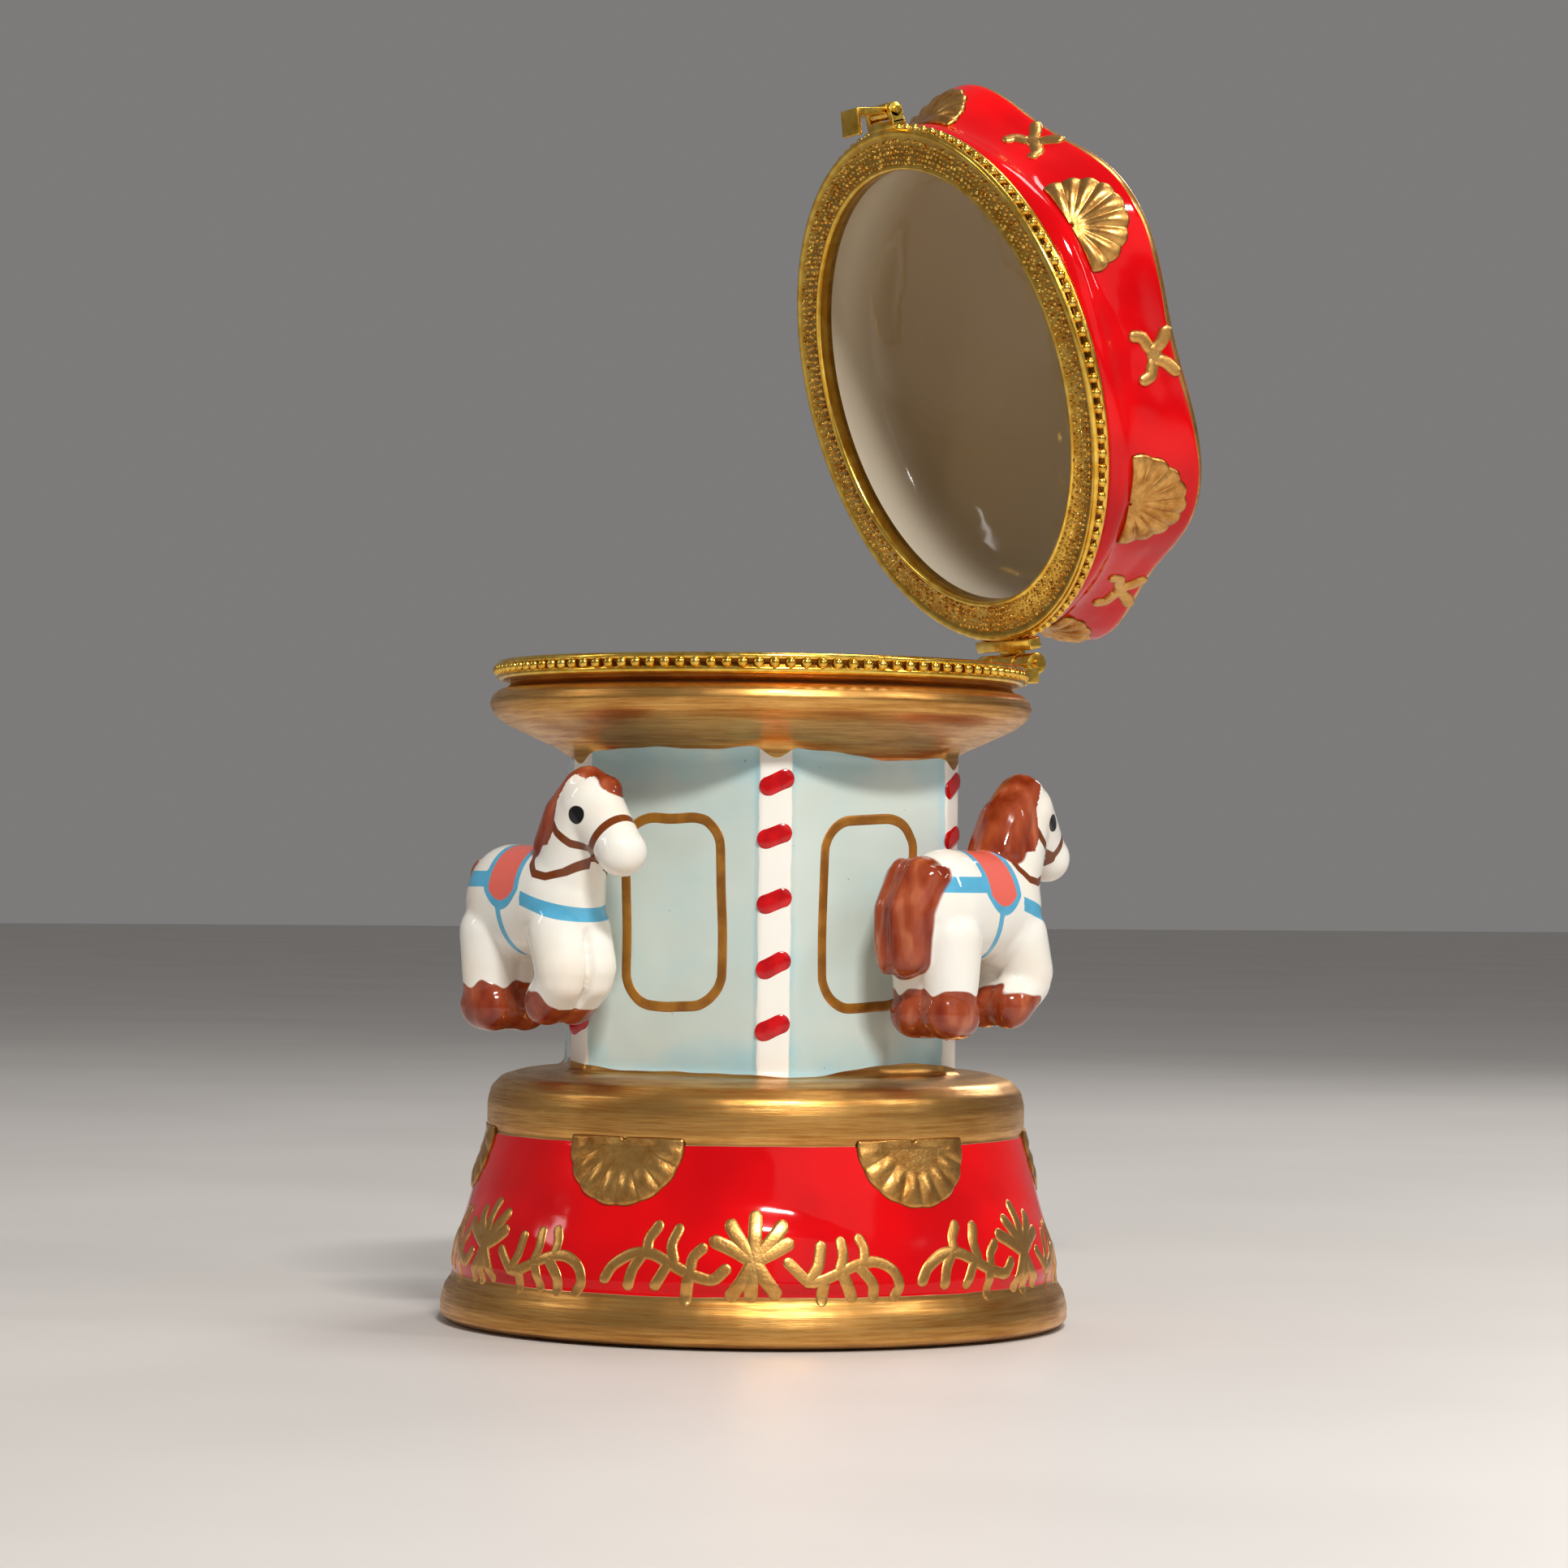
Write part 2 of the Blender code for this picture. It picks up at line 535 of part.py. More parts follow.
def build_comb(steel, screw_steel):
    """Eighteen tuned teeth cut from one steel plate, reaching to the drum's pins."""
    first = MOVE_X + 9.2 - NOTE_PITCH * (NOTES - 1) / 2
    tip_y = BARREL_Y - DRUM_R - PIN_HEIGHT - 0.35
    loop = [(MOVE_X - 0.1, -11.2), (MOVE_X - 0.1, -17.6), (MOVE_X + 18.5, -17.6), (MOVE_X + 18.5, -11.2)]
    for i in reversed(range(NOTES)):
        x = first + NOTE_PITCH * i
        root = -11.2 + 2.6 * i / (NOTES - 1)
        loop += [(x + 0.32, root), (x + 0.26, tip_y), (x - 0.26, tip_y), (x - 0.32, root)]
    holes = [circle(x, -15.0, 1.2, 12) for x in comb_screw_places()]
    plate("comb", [loop] + holes, 19.6, 20.4, UPRIGHT, steel)
    for i, x in enumerate(comb_screw_places()):
        screw(f"comb_screw_{i + 1}", x, -15.0, 20.7, 15.4, 1.9, 1.1, 0.9, screw_steel)


def build_spring_drive(brass, steel, dark_steel, key_pivot):
    """Spring barrel on two legs over the crown wheel, with the mainspring inside it."""
    housing = turned("spring_housing", [(0, 27.7), (9.3, 27.7), (9.8, 27.2), (9.8, 16.6), (0, 16.6)], brass,
                     at=(BARREL_X, BARREL_Y))
    bar = box("housing_bar", (-2.0, -15.6, 16.6), (2.0, 15.6, 17.6), group=CUTTERS)
    boolean(housing, bar, "UNION")
    for side in (-1, 1):
        leg = rod(f"housing_leg_{side + 2}", (0, side * 14.2, PLATE_TOP + GAP), (0, side * 14.2, 17.6), 1.4,
                  group=CUTTERS, segments=12)
        boolean(housing, leg, "UNION")
    hollow = rod("housing_hollow", (0, 0, 10), (0, 0, 26.9), 9.1, group=CUTTERS, segments=TURNED_STEPS)
    boolean(housing, hollow, "DIFFERENCE")

    coil = []
    turns, samples = 4, 16
    for offset in (0.0, 0.35):
        side = []
        for i in range(turns * samples + 1):
            angle = 2 * math.pi * i / samples
            radius = 3.0 + 5.2 * i / (turns * samples) + offset
            side.append((BARREL_X + radius * math.cos(angle), BARREL_Y + radius * math.sin(angle)))
        coil += side if offset == 0.0 else side[::-1]
    plate("mainspring", [coil], 18.2, 25.8, UPRIGHT, dark_steel)

    arbor = rod("winding_arbor", (BARREL_X, BARREL_Y, 4.2), (BARREL_X, BARREL_Y, 26.4), ARBOR_R, steel,
                segments=16)
    carry(arbor, key_pivot)
    carry(build_crown_wheel(brass), key_pivot)
    carry(build_key(brass), key_pivot)


def build_crown_wheel(brass):
    """A disc with face teeth round its rim: every second rim face is drawn up and narrowed."""
    bm = bmesh.new()
    inner, outer = CROWN_R - CROWN_HALF_FACE, CROWN_R + CROWN_HALF_FACE
    sides = CROWN_TEETH * 2
    root, tip = CROWN_PITCH_Z - 0.7, CROWN_PITCH_Z + 0.5
    bmesh.ops.create_cone(bm, cap_ends=True, segments=sides, radius1=outer, radius2=outer, depth=root - 13.4)
    lift = Matrix.Translation((0, 0, (root + 13.4) / 2))
    step = 2 * math.pi / sides
    bmesh.ops.transform(bm, matrix=lift @ Matrix.Rotation(step / 2, 4, "Z"), verts=bm.verts)
    top = max(bm.faces, key=lambda face: face.calc_center_median().z)
    made = bmesh.ops.inset_region(bm, faces=[top], thickness=outer - inner, use_even_offset=True)["faces"]
    ring = sorted(made, key=lambda face: math.atan2(face.calc_center_median().y, face.calc_center_median().x))
    azimuth = [math.atan2(f.calc_center_median().y, f.calc_center_median().x) / step for f in ring]
    teeth = [face for face, turn in zip(ring, azimuth) if round(turn) % 2 == 1]
    raised = bmesh.ops.extrude_face_region(bm, geom=teeth)["geom"]
    bmesh.ops.delete(bm, geom=teeth, context="FACES_ONLY")
    crests = [item for item in raised if isinstance(item, bmesh.types.BMFace)]
    for crest in crests:
        middle = crest.calc_center_median()
        across = Vector((-middle.y, middle.x, 0)).normalized()
        for vertex in crest.verts:
            vertex.co -= across * (vertex.co - middle).dot(across) * 0.5
            vertex.co.z = tip
    bmesh.ops.recalc_face_normals(bm, faces=bm.faces)
    place(bm, Matrix.Translation((BARREL_X, BARREL_Y, 0)))
    wheel = add_mesh("great_wheel", bm, brass)
    hole = rod("wheel_hole", (BARREL_X, BARREL_Y, 5), (BARREL_X, BARREL_Y, 20), ARBOR_R + GAP, group=CUTTERS)
    return boolean(wheel, hole, "DIFFERENCE")


def build_key(brass):
    """A butterfly key: two holed wings on a bored hub."""
    loops = [rounded_rectangle(BARREL_X - 10.5, 1.2, BARREL_X + 10.5, 6.0, 2.0)]
    for side in (-1, 1):
        middle = BARREL_X + side * 6.6
        loops.append(rounded_rectangle(middle - 2.4, 2.7, middle + 2.4, 4.7, 0.95))
    key = plate("winding_key", loops, -BARREL_Y - 0.8, -BARREL_Y + 0.8, ALONG_Y, brass)
    hub = rod("key_hub", (BARREL_X, BARREL_Y, 0.9), (BARREL_X, BARREL_Y, 7.6), 2.7, group=CUTTERS)
    boolean(key, hub, "UNION")
    bore = rod("key_bore", (BARREL_X, BARREL_Y, 3.8), (BARREL_X, BARREL_Y, 12), ARBOR_R + GAP, group=CUTTERS)
    return boolean(key, bore, "DIFFERENCE")


def build_drum(brass, steel, drum_pivot):
    """The pinned drum, its arbor, the pinion that drives it and the gear it drives."""
    bm = bmesh.new()
    bmesh.ops.create_cone(bm, cap_ends=True, segments=DRUM_SECTORS, radius1=DRUM_R, radius2=DRUM_R,
                          depth=DRUM_LENGTH)
    first = -NOTE_PITCH * (NOTES - 1) / 2
    for i in range(NOTES - 1):
        height = first + NOTE_PITCH * (i + 0.5)
        bmesh.ops.bisect_plane(bm, geom=bm.verts[:] + bm.edges[:] + bm.faces[:], plane_co=(0, 0, height),
                               plane_no=(0, 0, 1))
    bm.faces.ensure_lookup_table()
    chosen = []
    for face in bm.faces:
        middle = face.calc_center_median()
        if abs(face.normal.z) > 0.5:
            continue
        sector = round(math.atan2(middle.y, middle.x) / (2 * math.pi) * DRUM_SECTORS - 0.5) % DRUM_SECTORS
        note = round((middle.z - first) / NOTE_PITCH)
        if (5 * sector + 7 * note + note * note) % 11 == 0:
            chosen.append(face)
    bmesh.ops.inset_individual(bm, faces=chosen, thickness=0.28, use_even_offset=True)
    grown = bmesh.ops.extrude_discrete_faces(bm, faces=chosen)["faces"]
    for face in grown:
        bmesh.ops.translate(bm, vec=face.normal * PIN_HEIGHT, verts=face.verts)
    middle_x = DRUM_START + DRUM_LENGTH / 2
    place(bm, Matrix.Translation((middle_x, BARREL_Y, DRUM_Z)) @ ALONG_X)
    drum = add_mesh("tune_cylinder", bm, brass)
    bore = rod("drum_bore", (MOVE_X - 2, BARREL_Y, DRUM_Z), (MOVE_X + 22, BARREL_Y, DRUM_Z), 1.2, group=CUTTERS,
               segments=14)
    boolean(drum, bore, "DIFFERENCE")
    carry(drum, drum_pivot)

    axis = Matrix.Translation((0, BARREL_Y, DRUM_Z)) @ ALONG_X
    pinion_x = BARREL_X + CROWN_R
    pinion = gear_loop(PINION_TEETH, CROWN_MODULE, 0.65, 0.5, phase=-90.0)
    carry(plate("cylinder_pinion", [pinion, circle(0, 0, 1.2)], pinion_x - 0.75, pinion_x + 0.75, axis, steel),
          drum_pivot)
    gear = gear_loop(GEAR_TEETH, SPUR_MODULE, 0.5, 0.36)
    carry(plate("cylinder_gear", [gear, circle(0, 0, 1.2)], GEAR_X - 0.5, GEAR_X + 0.5, axis, brass), drum_pivot)
    arbor = rod("cylinder_arbor", (pinion_x - 0.75, BARREL_Y, DRUM_Z), (MOVE_X + 21.9, BARREL_Y, DRUM_Z), 0.9,
                steel, segments=14)
    carry(arbor, drum_pivot)


def build_bearing_plates(brass):
    for name, low in (("bearing_plate_left", MOVE_X - 1.2), ("bearing_plate_right", MOVE_X + 20.5)):
        outline = rounded_rectangle(BARREL_Y - 2.8, PLATE_TOP + GAP, BARREL_Y + 2.8, DRUM_Z + 2.8, 2.0)
        plate(name, [outline, circle(BARREL_Y, DRUM_Z, 1.2)], low, low + 0.9, ALONG_X, brass)


def worm_mesh():
    """A single-start worm cut on its own shaft: the radius follows the turn and the height."""
    bm = bmesh.new()
    around = 10
    heights = [12.9, 16.0] + [16.2 + WORM_LEAD * i / 6 for i in range(38)] + [24.3, 29.2]
    rings = []
    for z in heights:
        ring = []
        for j in range(around):
            turn = j / around
            radius = SHAFT_R
            if 16.1 < z < 24.2:
                thread = (z - DRUM_Z) / WORM_LEAD - (turn + 0.25) + 0.5
                crest = abs((thread % 1.0) - 0.5) * 2
                radius = WORM_R - 0.42 + 0.76 * max(0.0, min(1.0, (crest - 0.52) / 0.28))
            angle = 2 * math.pi * turn
            ring.append(bm.verts.new((radius * math.cos(angle), radius * math.sin(angle), z)))
        rings.append(ring)
    for low, high in zip(rings, rings[1:]):
        for j in range(around):
            k = (j + 1) % around
            bm.faces.new((low[j], low[k], high[k], high[j]))
    bm.faces.new(rings[0][::-1])
    bm.faces.new(rings[-1])
    return bm


def build_governor(brass, steel, plastic, screw_steel, idler_pivot, fly_pivot):
    """The frame, the idler that gears up the drum's turn, and the worm with its air brake."""
    low_x, high_x = MOVE_X + 17.4, MOVE_X + 24.2
    frame = box("governor_frame", (low_x, 10.3, PLATE_TOP + GAP), (high_x, 18.6, 26.3), brass)
    boolean(frame, box("frame_window", (MOVE_X + 18.3, 5, 14.0), (MOVE_X + 23.3, 25, 25.3), group=CUTTERS),
            "DIFFERENCE")
    tab = box("frame_tab", (MOVE_X + 13.6, 13.2, PLATE_TOP + GAP), (MOVE_X + 17.8, 17.2, 13.9), group=CUTTERS)
    boolean(frame, tab, "UNION")
    bores = (("idler_bore", (low_x - 2, IDLER_Y, DRUM_Z), (high_x + 2, IDLER_Y, DRUM_Z), BEARING_R + 0.1),
             ("worm_bore", (WORM_WHEEL_X, WORM_Y, 8), (WORM_WHEEL_X, WORM_Y, 32), BEARING_R + 0.1),
             ("tab_hole", (MOVE_X + 15.6, 15.2, 8), (MOVE_X + 15.6, 15.2, 20), 1.2))
    for name, start, end, radius in bores:
        boolean(frame, rod(name, start, end, radius, group=CUTTERS, segments=14), "DIFFERENCE")
    screw("governor_screw", MOVE_X + 15.6, 15.2, 14.2, 11.2, 1.8, 1.0, 0.9, screw_steel)

    axis = Matrix.Translation((0, IDLER_Y, DRUM_Z)) @ ALONG_X
    arbor = rod("idler_arbor", (low_x + 0.1, IDLER_Y, DRUM_Z), (high_x - 0.1, IDLER_Y, DRUM_Z), SHAFT_R, steel,
                segments=12)
    carry(arbor, idler_pivot)
    pinion = gear_loop(IDLER_TEETH, SPUR_MODULE, 0.5, 0.36, phase=180.0 + 180.0 / IDLER_TEETH)
    carry(plate("idler_pinion", [pinion, circle(0, 0, BEARING_R)], GEAR_X - 0.5, GEAR_X + 0.5, axis, steel),
          idler_pivot)
    wheel = gear_loop(WORM_WHEEL_TEETH, SPUR_MODULE, 0.5, 0.3, thickness=0.36)
    carry(plate("worm_wheel", [wheel, circle(0, 0, BEARING_R)], WORM_WHEEL_X - 0.45, WORM_WHEEL_X + 0.45, axis,
                plastic), idler_pivot)

    worm = worm_mesh()
    place(worm, Matrix.Translation((WORM_WHEEL_X, WORM_Y, 0)))
    carry(add_mesh("governor_worm", worm, steel), fly_pivot)
    fly = box("air_brake", (WORM_WHEEL_X - 4.4, WORM_Y - 0.25, 26.8), (WORM_WHEEL_X + 4.4, WORM_Y + 0.25, 29.4),
              plastic)
    hub = rod("fly_hub", (WORM_WHEEL_X, WORM_Y, 26.7), (WORM_WHEEL_X, WORM_Y, 29.5), 1.5, group=CUTTERS)
    boolean(fly, hub, "UNION")
    bore = rod("fly_bore", (WORM_WHEEL_X, WORM_Y, 20), (WORM_WHEEL_X, WORM_Y, 35), BEARING_R, group=CUTTERS,
               segments=12)
    boolean(fly, bore, "DIFFERENCE")
    carry(fly, fly_pivot)


def build():
    white_glaze = new_material("white_glaze", (0.86, 0.83, 0.76), 0.12)
    red_glaze = new_material("red_glaze", (0.66, 0.01, 0.01), 0.10)
    gilt_brass = new_material("gilt_brass", (0.80, 0.56, 0.16), 0.25, 1.0)
    brass = new_material("brass", (0.78, 0.60, 0.30), 0.35, 1.0)
    steel = new_material("steel", (0.62, 0.62, 0.62), 0.30, 1.0)
    spring_steel = new_material("spring_steel", (0.22, 0.24, 0.28), 0.35, 1.0)
    zinc = new_material("zinc", (0.55, 0.55, 0.54), 0.50, 1.0)
    black_plastic = new_material("black_plastic", (0.03, 0.03, 0.03), 0.50)
    white_plastic = new_material("white_plastic", (0.80, 0.79, 0.74), 0.45)

    build_body(white_glaze)
    for i, (azimuth, yaw) in enumerate(zip(HORSE_AZIMUTHS, HORSE_YAWS)):
        build_horse(f"horse_{i + 1}", azimuth, yaw, white_glaze)

    lid_pivot = pivot("lid_pivot", (0, HINGE_Y, HINGE_Z), (math.radians(-LID_OPENING), 0, 0))
    build_bezels(gilt_brass, lid_pivot)
    build_lid(red_glaze, lid_pivot)
    build_hinge(gilt_brass, lid_pivot)
    build_clasp(gilt_brass, lid_pivot)

    build_base_cap(black_plastic)
    build_bedplate(zinc)
    build_comb(steel, steel)
    build_spring_drive(brass, steel, spring_steel, pivot("key_pivot", (BARREL_X, BARREL_Y, 0)))
    build_drum(brass, steel, pivot("drum_pivot", (0, BARREL_Y, DRUM_Z)))
    build_bearing_plates(brass)
    build_governor(brass, steel, white_plastic, steel, pivot("idler_pivot", (0, IDLER_Y, DRUM_Z)),
                   pivot("fly_pivot", (WORM_WHEEL_X, WORM_Y, 0)))
    for i, (x, y) in enumerate(plate_screw_places()):
        screw(f"movement_screw_{i + 1}", x, y, WELL_TOP - GAP, PLATE_TOP, 1.9, 1.0, 1.0, steel)


clear_scene()
PARTS = new_collection("carousel_music_box")
CUTTERS = new_collection("cutters")
build()
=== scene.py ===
"""Looks of the carousel music box: painted porcelain, gilt rims, horses and gold ornament.

Lengths are in millimetres in the object's own frame, and MM turns them into metres. Lid pieces are
drawn on the closed lid and then swung open to where the frame holds it.
"""
import json
import math

import bmesh
import bpy
import numpy as np
from mathutils import Matrix, Vector


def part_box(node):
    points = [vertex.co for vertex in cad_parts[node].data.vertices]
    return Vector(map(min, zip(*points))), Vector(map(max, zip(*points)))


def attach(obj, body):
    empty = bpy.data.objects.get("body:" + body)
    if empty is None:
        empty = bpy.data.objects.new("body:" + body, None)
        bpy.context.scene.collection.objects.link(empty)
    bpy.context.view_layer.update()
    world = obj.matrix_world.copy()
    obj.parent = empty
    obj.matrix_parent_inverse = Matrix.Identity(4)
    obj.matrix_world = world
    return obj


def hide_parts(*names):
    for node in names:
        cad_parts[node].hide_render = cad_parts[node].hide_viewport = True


MM = 0.001
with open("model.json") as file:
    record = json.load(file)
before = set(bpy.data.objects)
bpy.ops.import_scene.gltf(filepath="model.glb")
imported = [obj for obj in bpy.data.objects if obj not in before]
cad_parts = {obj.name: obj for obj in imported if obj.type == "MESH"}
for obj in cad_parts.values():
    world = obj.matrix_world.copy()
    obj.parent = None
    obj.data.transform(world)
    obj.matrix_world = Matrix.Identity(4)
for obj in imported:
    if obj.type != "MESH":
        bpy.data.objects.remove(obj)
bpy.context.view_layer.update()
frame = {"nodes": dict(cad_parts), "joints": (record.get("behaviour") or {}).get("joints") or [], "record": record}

# ------------------------------------------------------------------ the frame's own dimensions
JOINTS = {joint["name"]: joint for joint in frame["joints"]}
HINGE = np.array(JOINTS["lid_hinge"]["pos_m"]) / MM
LID_OPENING = -math.radians(JOINTS["lid_hinge"]["range_deg"][0])
BODY_LOW, BODY_HIGH = [np.array(corner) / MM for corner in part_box("body_shell")]
BEZEL_LOW, BEZEL_HIGH = [np.array(corner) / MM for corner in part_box("lower_bezel")]
FOOT_R = BODY_HIGH[0]
BEZEL_R = BEZEL_HIGH[0]
RIM_Z = BEZEL_HIGH[2]
LID_BASE = RIM_Z + 0.3
LID_BEZEL_R = 36.5
BEZEL_INNER_R = 30.7

POST_AZIMUTH = 35.0
FACE_AZIMUTH = POST_AZIMUTH - 30.0
COLUMN_APOTHEM = 25.6
POST_FACE_R = 28.4
HORSE_RADIUS = 34.6
HORSE_BASE = 39.0
HORSE_PLACES = ((-85.0, 0.0), (27.0, -4.0), (155.0, 0.0))
AROUND = 576


def lid_open_matrix():
    """Carries a point of the closed lid to the open lid, in millimetres."""
    there = Matrix.Translation(Vector(HINGE))
    return there @ Matrix.Rotation(-LID_OPENING, 4, "X") @ there.inverted()


LID_OPEN = lid_open_matrix()
SHUT = Matrix.Identity(4)


# ------------------------------------------------------------------------------ mesh helpers

def smoothstep(low, high, value):
    t = np.clip((value - low) / (high - low), 0.0, 1.0)
    return t * t * (3 - 2 * t)


def finish_piece(piece, material, body, replaces=()):
    """Give a piece its material, the body that it rides on and the CAD nodes it stands for."""
    piece.data.materials.clear()
    piece.data.materials.append(material)
    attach(piece, body)
    if replaces:
        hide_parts(*replaces)
    return piece


def new_object(name, data):
    """An object in the scene that holds a mesh, a light or a camera."""
    piece = bpy.data.objects.new(name, data)
    bpy.context.scene.collection.objects.link(piece)
    return piece


def final_mesh(item):
    """A new mesh of an object with its modifiers applied."""
    bpy.context.view_layer.update()
    return bpy.data.meshes.new_from_object(item.evaluated_get(bpy.context.evaluated_depsgraph_get()))


def circle_row(radius, azimuth, height):
    """Points round the axis at one height, one for each azimuth."""
    return np.stack([radius * np.cos(azimuth), radius * np.sin(azimuth), np.full_like(azimuth, height)], 1)


def mesh_piece(name, points, faces, matrix=SHUT):
    """A smooth-shaded object from points in millimetres and faces of any size, turned outward."""
    mesh = bpy.data.meshes.new(name)
    mesh.from_pydata([tuple(p) for p in points], [], [tuple(f) for f in faces])
    bm = bmesh.new()
    bm.from_mesh(mesh)
    bmesh.ops.recalc_face_normals(bm, faces=bm.faces)
    bmesh.ops.transform(bm, matrix=Matrix.Scale(MM, 4) @ matrix, verts=bm.verts)
    bm.to_mesh(mesh)
    bm.free()
    mesh.shade_smooth()
    return new_object(name, mesh)


def ring_faces(rows, columns, offset=0, closed_rows=False):
    """Quads of a grid whose rows close on themselves."""
    faces = []
    last = rows if closed_rows else rows - 1
    for i in range(last):
        low = offset + i * columns
        high = offset + ((i + 1) % rows) * columns
        for j in range(columns):
            k = (j + 1) % columns
            faces.append((low + j, low + k, high + k, high + j))
    return faces


def loft(name, rings, start_pole=None, end_pole=None, closed_rows=False, matrix=SHUT):
    """A closed skin through rings of points, ended by poles or by joining the last ring to the first."""
    rings = np.asarray(rings, float)
    rows, columns = rings.shape[:2]
    points = list(rings.reshape(-1, 3))
    faces = ring_faces(rows, columns, closed_rows=closed_rows)
    for pole, row in ((start_pole, 0), (end_pole, rows - 1)):
        if pole is None:
            continue
        points.append(np.asarray(pole, float))
        centre = len(points) - 1
        for j in range(columns):
            faces.append((row * columns + j, row * columns + (j + 1) % columns, centre))
    return mesh_piece(name, points, faces, matrix)


def add_values(mesh, name, values):
    """Store one number for each vertex, for the materials to read."""
    attribute = mesh.attributes.new(name, "FLOAT", "POINT")
    attribute.data.foreach_set("value", np.asarray(values, np.float32).ravel())


def catmull(points, step):
    """A smooth line through points, sampled about every step."""
    points = np.asarray(points, float)
    ends = np.vstack([2 * points[0] - points[1], points, 2 * points[-1] - points[-2]])
    line = []
    for i in range(1, len(ends) - 2):
        a, b, c, d = ends[i - 1:i + 3]
        count = max(1, int(np.linalg.norm(c - b) / step))
        for t in np.arange(count) / count:
            line.append(0.5 * (2 * b + (c - a) * t + (2 * a - 5 * b + 4 * c - d) * t * t
                               + (3 * b - a - 3 * c + d) * t ** 3))
    line.append(points[-1])
    return np.array(line)


def rounded(points, step, softness=0.35):
    """The straight-sided line through points with its corners softened, sampled about every step."""
    points = np.asarray(points, float)
    line = [points[0]]
    for before, corner, after in zip(points, points[1:], points[2:]):
        for t in (1 - softness, 1 - softness / 3):
            line.append(before + (corner - before) * t)
        for t in (softness / 3, softness):
            line.append(corner + (after - corner) * t)
    line.append(points[-1])
    return catmull(line, step)


def wobble(azimuth, amount, seed):
    """A hand-painted edge's drift, the same on every run, in the units of amount."""
    total = np.zeros_like(azimuth)
    for i, (waves, share) in enumerate(((3, 0.5), (7, 0.35), (13, 0.25), (29, 0.12))):
        total += share * np.sin(waves * azimuth + 1.7 * seed + 2.3 * i * seed + i)
    return amount * total


# ----------------------------------------------------------------------------- node materials

class Shade:
    """A short way to wire a Principled material."""

    def __init__(self, name):
        self.material = bpy.data.materials.new(name)
        self.material.use_nodes = True
        self.tree = self.material.node_tree
        self.shader = self.tree.nodes["Principled BSDF"]
        self.coordinate = self.tree.nodes.new("ShaderNodeTexCoord").outputs["Object"]

    def node(self, kind, **settings):
        node = self.tree.nodes.new(kind)
        for key, value in settings.items():
            setattr(node, key, value)
        return node

    def put(self, socket, value):
        if isinstance(value, bpy.types.NodeSocket):
            self.tree.links.new(value, socket)
        else:
            socket.default_value = value

    def math(self, operation, a, b):
        node = self.node("ShaderNodeMath", operation=operation)
        for socket, value in zip(node.inputs, (a, b)):
            self.put(socket, value)
        return node.outputs[0]

    def times(self, a, b):
        return self.math("MULTIPLY", a, b)

    def plus(self, a, b):
        return self.math("ADD", a, b)

    def remap(self, value, low, high, to_low=0.0, to_high=1.0):
        node = self.node("ShaderNodeMapRange", interpolation_type="SMOOTHSTEP", clamp=True)
        for socket, item in zip(node.inputs, (value, low, high, to_low, to_high)):
            self.put(socket, item)
        return node.outputs[0]

    def mix(self, factor, a, b):
        node = self.node("ShaderNodeMix", data_type="RGBA")
        self.put(node.inputs[0], factor)
        for socket, color in ((node.inputs[6], a), (node.inputs[7], b)):
            self.put(socket, (*color, 1.0) if isinstance(color, tuple) else color)
        return node.outputs[2]

    def blend(self, factor, a, b):
        node = self.node("ShaderNodeMix", data_type="FLOAT")
        for index, value in ((0, factor), (2, a), (3, b)):
            self.put(node.inputs[index], value)
        return node.outputs[0]

    def stretched(self, scale):
        node = self.node("ShaderNodeMapping")
        self.put(node.inputs["Vector"], self.coordinate)
        node.inputs["Scale"].default_value = scale
        return node.outputs[0]

    def noise(self, scale, detail=3.0, stretch=None, rough=0.5):
        """Noise whose features are about 1/scale of a millimetre."""
        node = self.node("ShaderNodeTexNoise")
        vector = self.stretched(stretch) if stretch else self.coordinate
        self.put(node.inputs["Vector"], vector)
        node.inputs["Scale"].default_value = scale / MM
        node.inputs["Detail"].default_value = detail
        node.inputs["Roughness"].default_value = rough
        return node.outputs["Fac"]

    def cells(self, scale, feature="F1"):
        node = self.node("ShaderNodeTexVoronoi", feature=feature)
        self.put(node.inputs["Vector"], self.coordinate)
        node.inputs["Scale"].default_value = scale / MM
        return node.outputs["Distance"]

    def attribute(self, name):
        return self.node("ShaderNodeAttribute", attribute_name=name).outputs["Fac"]

    def inside(self, name, softness=0.05):
        """1 where a painted distance, in millimetres, is positive."""
        return self.remap(self.attribute(name), -softness, softness)

    def bump(self, height, depth):
        node = self.node("ShaderNodeBump")
        node.inputs["Strength"].default_value = 1.0
        node.inputs["Distance"].default_value = depth * MM
        self.put(node.inputs["Height"], height)
        return node.outputs["Normal"]

    def set(self, **values):
        names = {"color": "Base Color", "rough": "Roughness", "metal": "Metallic", "normal": "Normal",
                 "coat": "Coat Weight", "coat_rough": "Coat Roughness", "ior": "IOR",
                 "specular": "Specular IOR Level", "sss": "Subsurface Weight", "sss_scale": "Subsurface Scale"}
        for key, value in values.items():
            if key == "color" and isinstance(value, tuple):
                value = (*value, 1.0)
            self.put(self.shader.inputs[names[key]], value)
        return self.material


def srgb(red, green, blue):
    """A colour given as 0 to 255 screen values, as linear light."""
    return tuple(c / 12.92 if c <= 0.04045 else ((c + 0.055) / 1.055) ** 2.4
                 for c in (red / 255, green / 255, blue / 255))


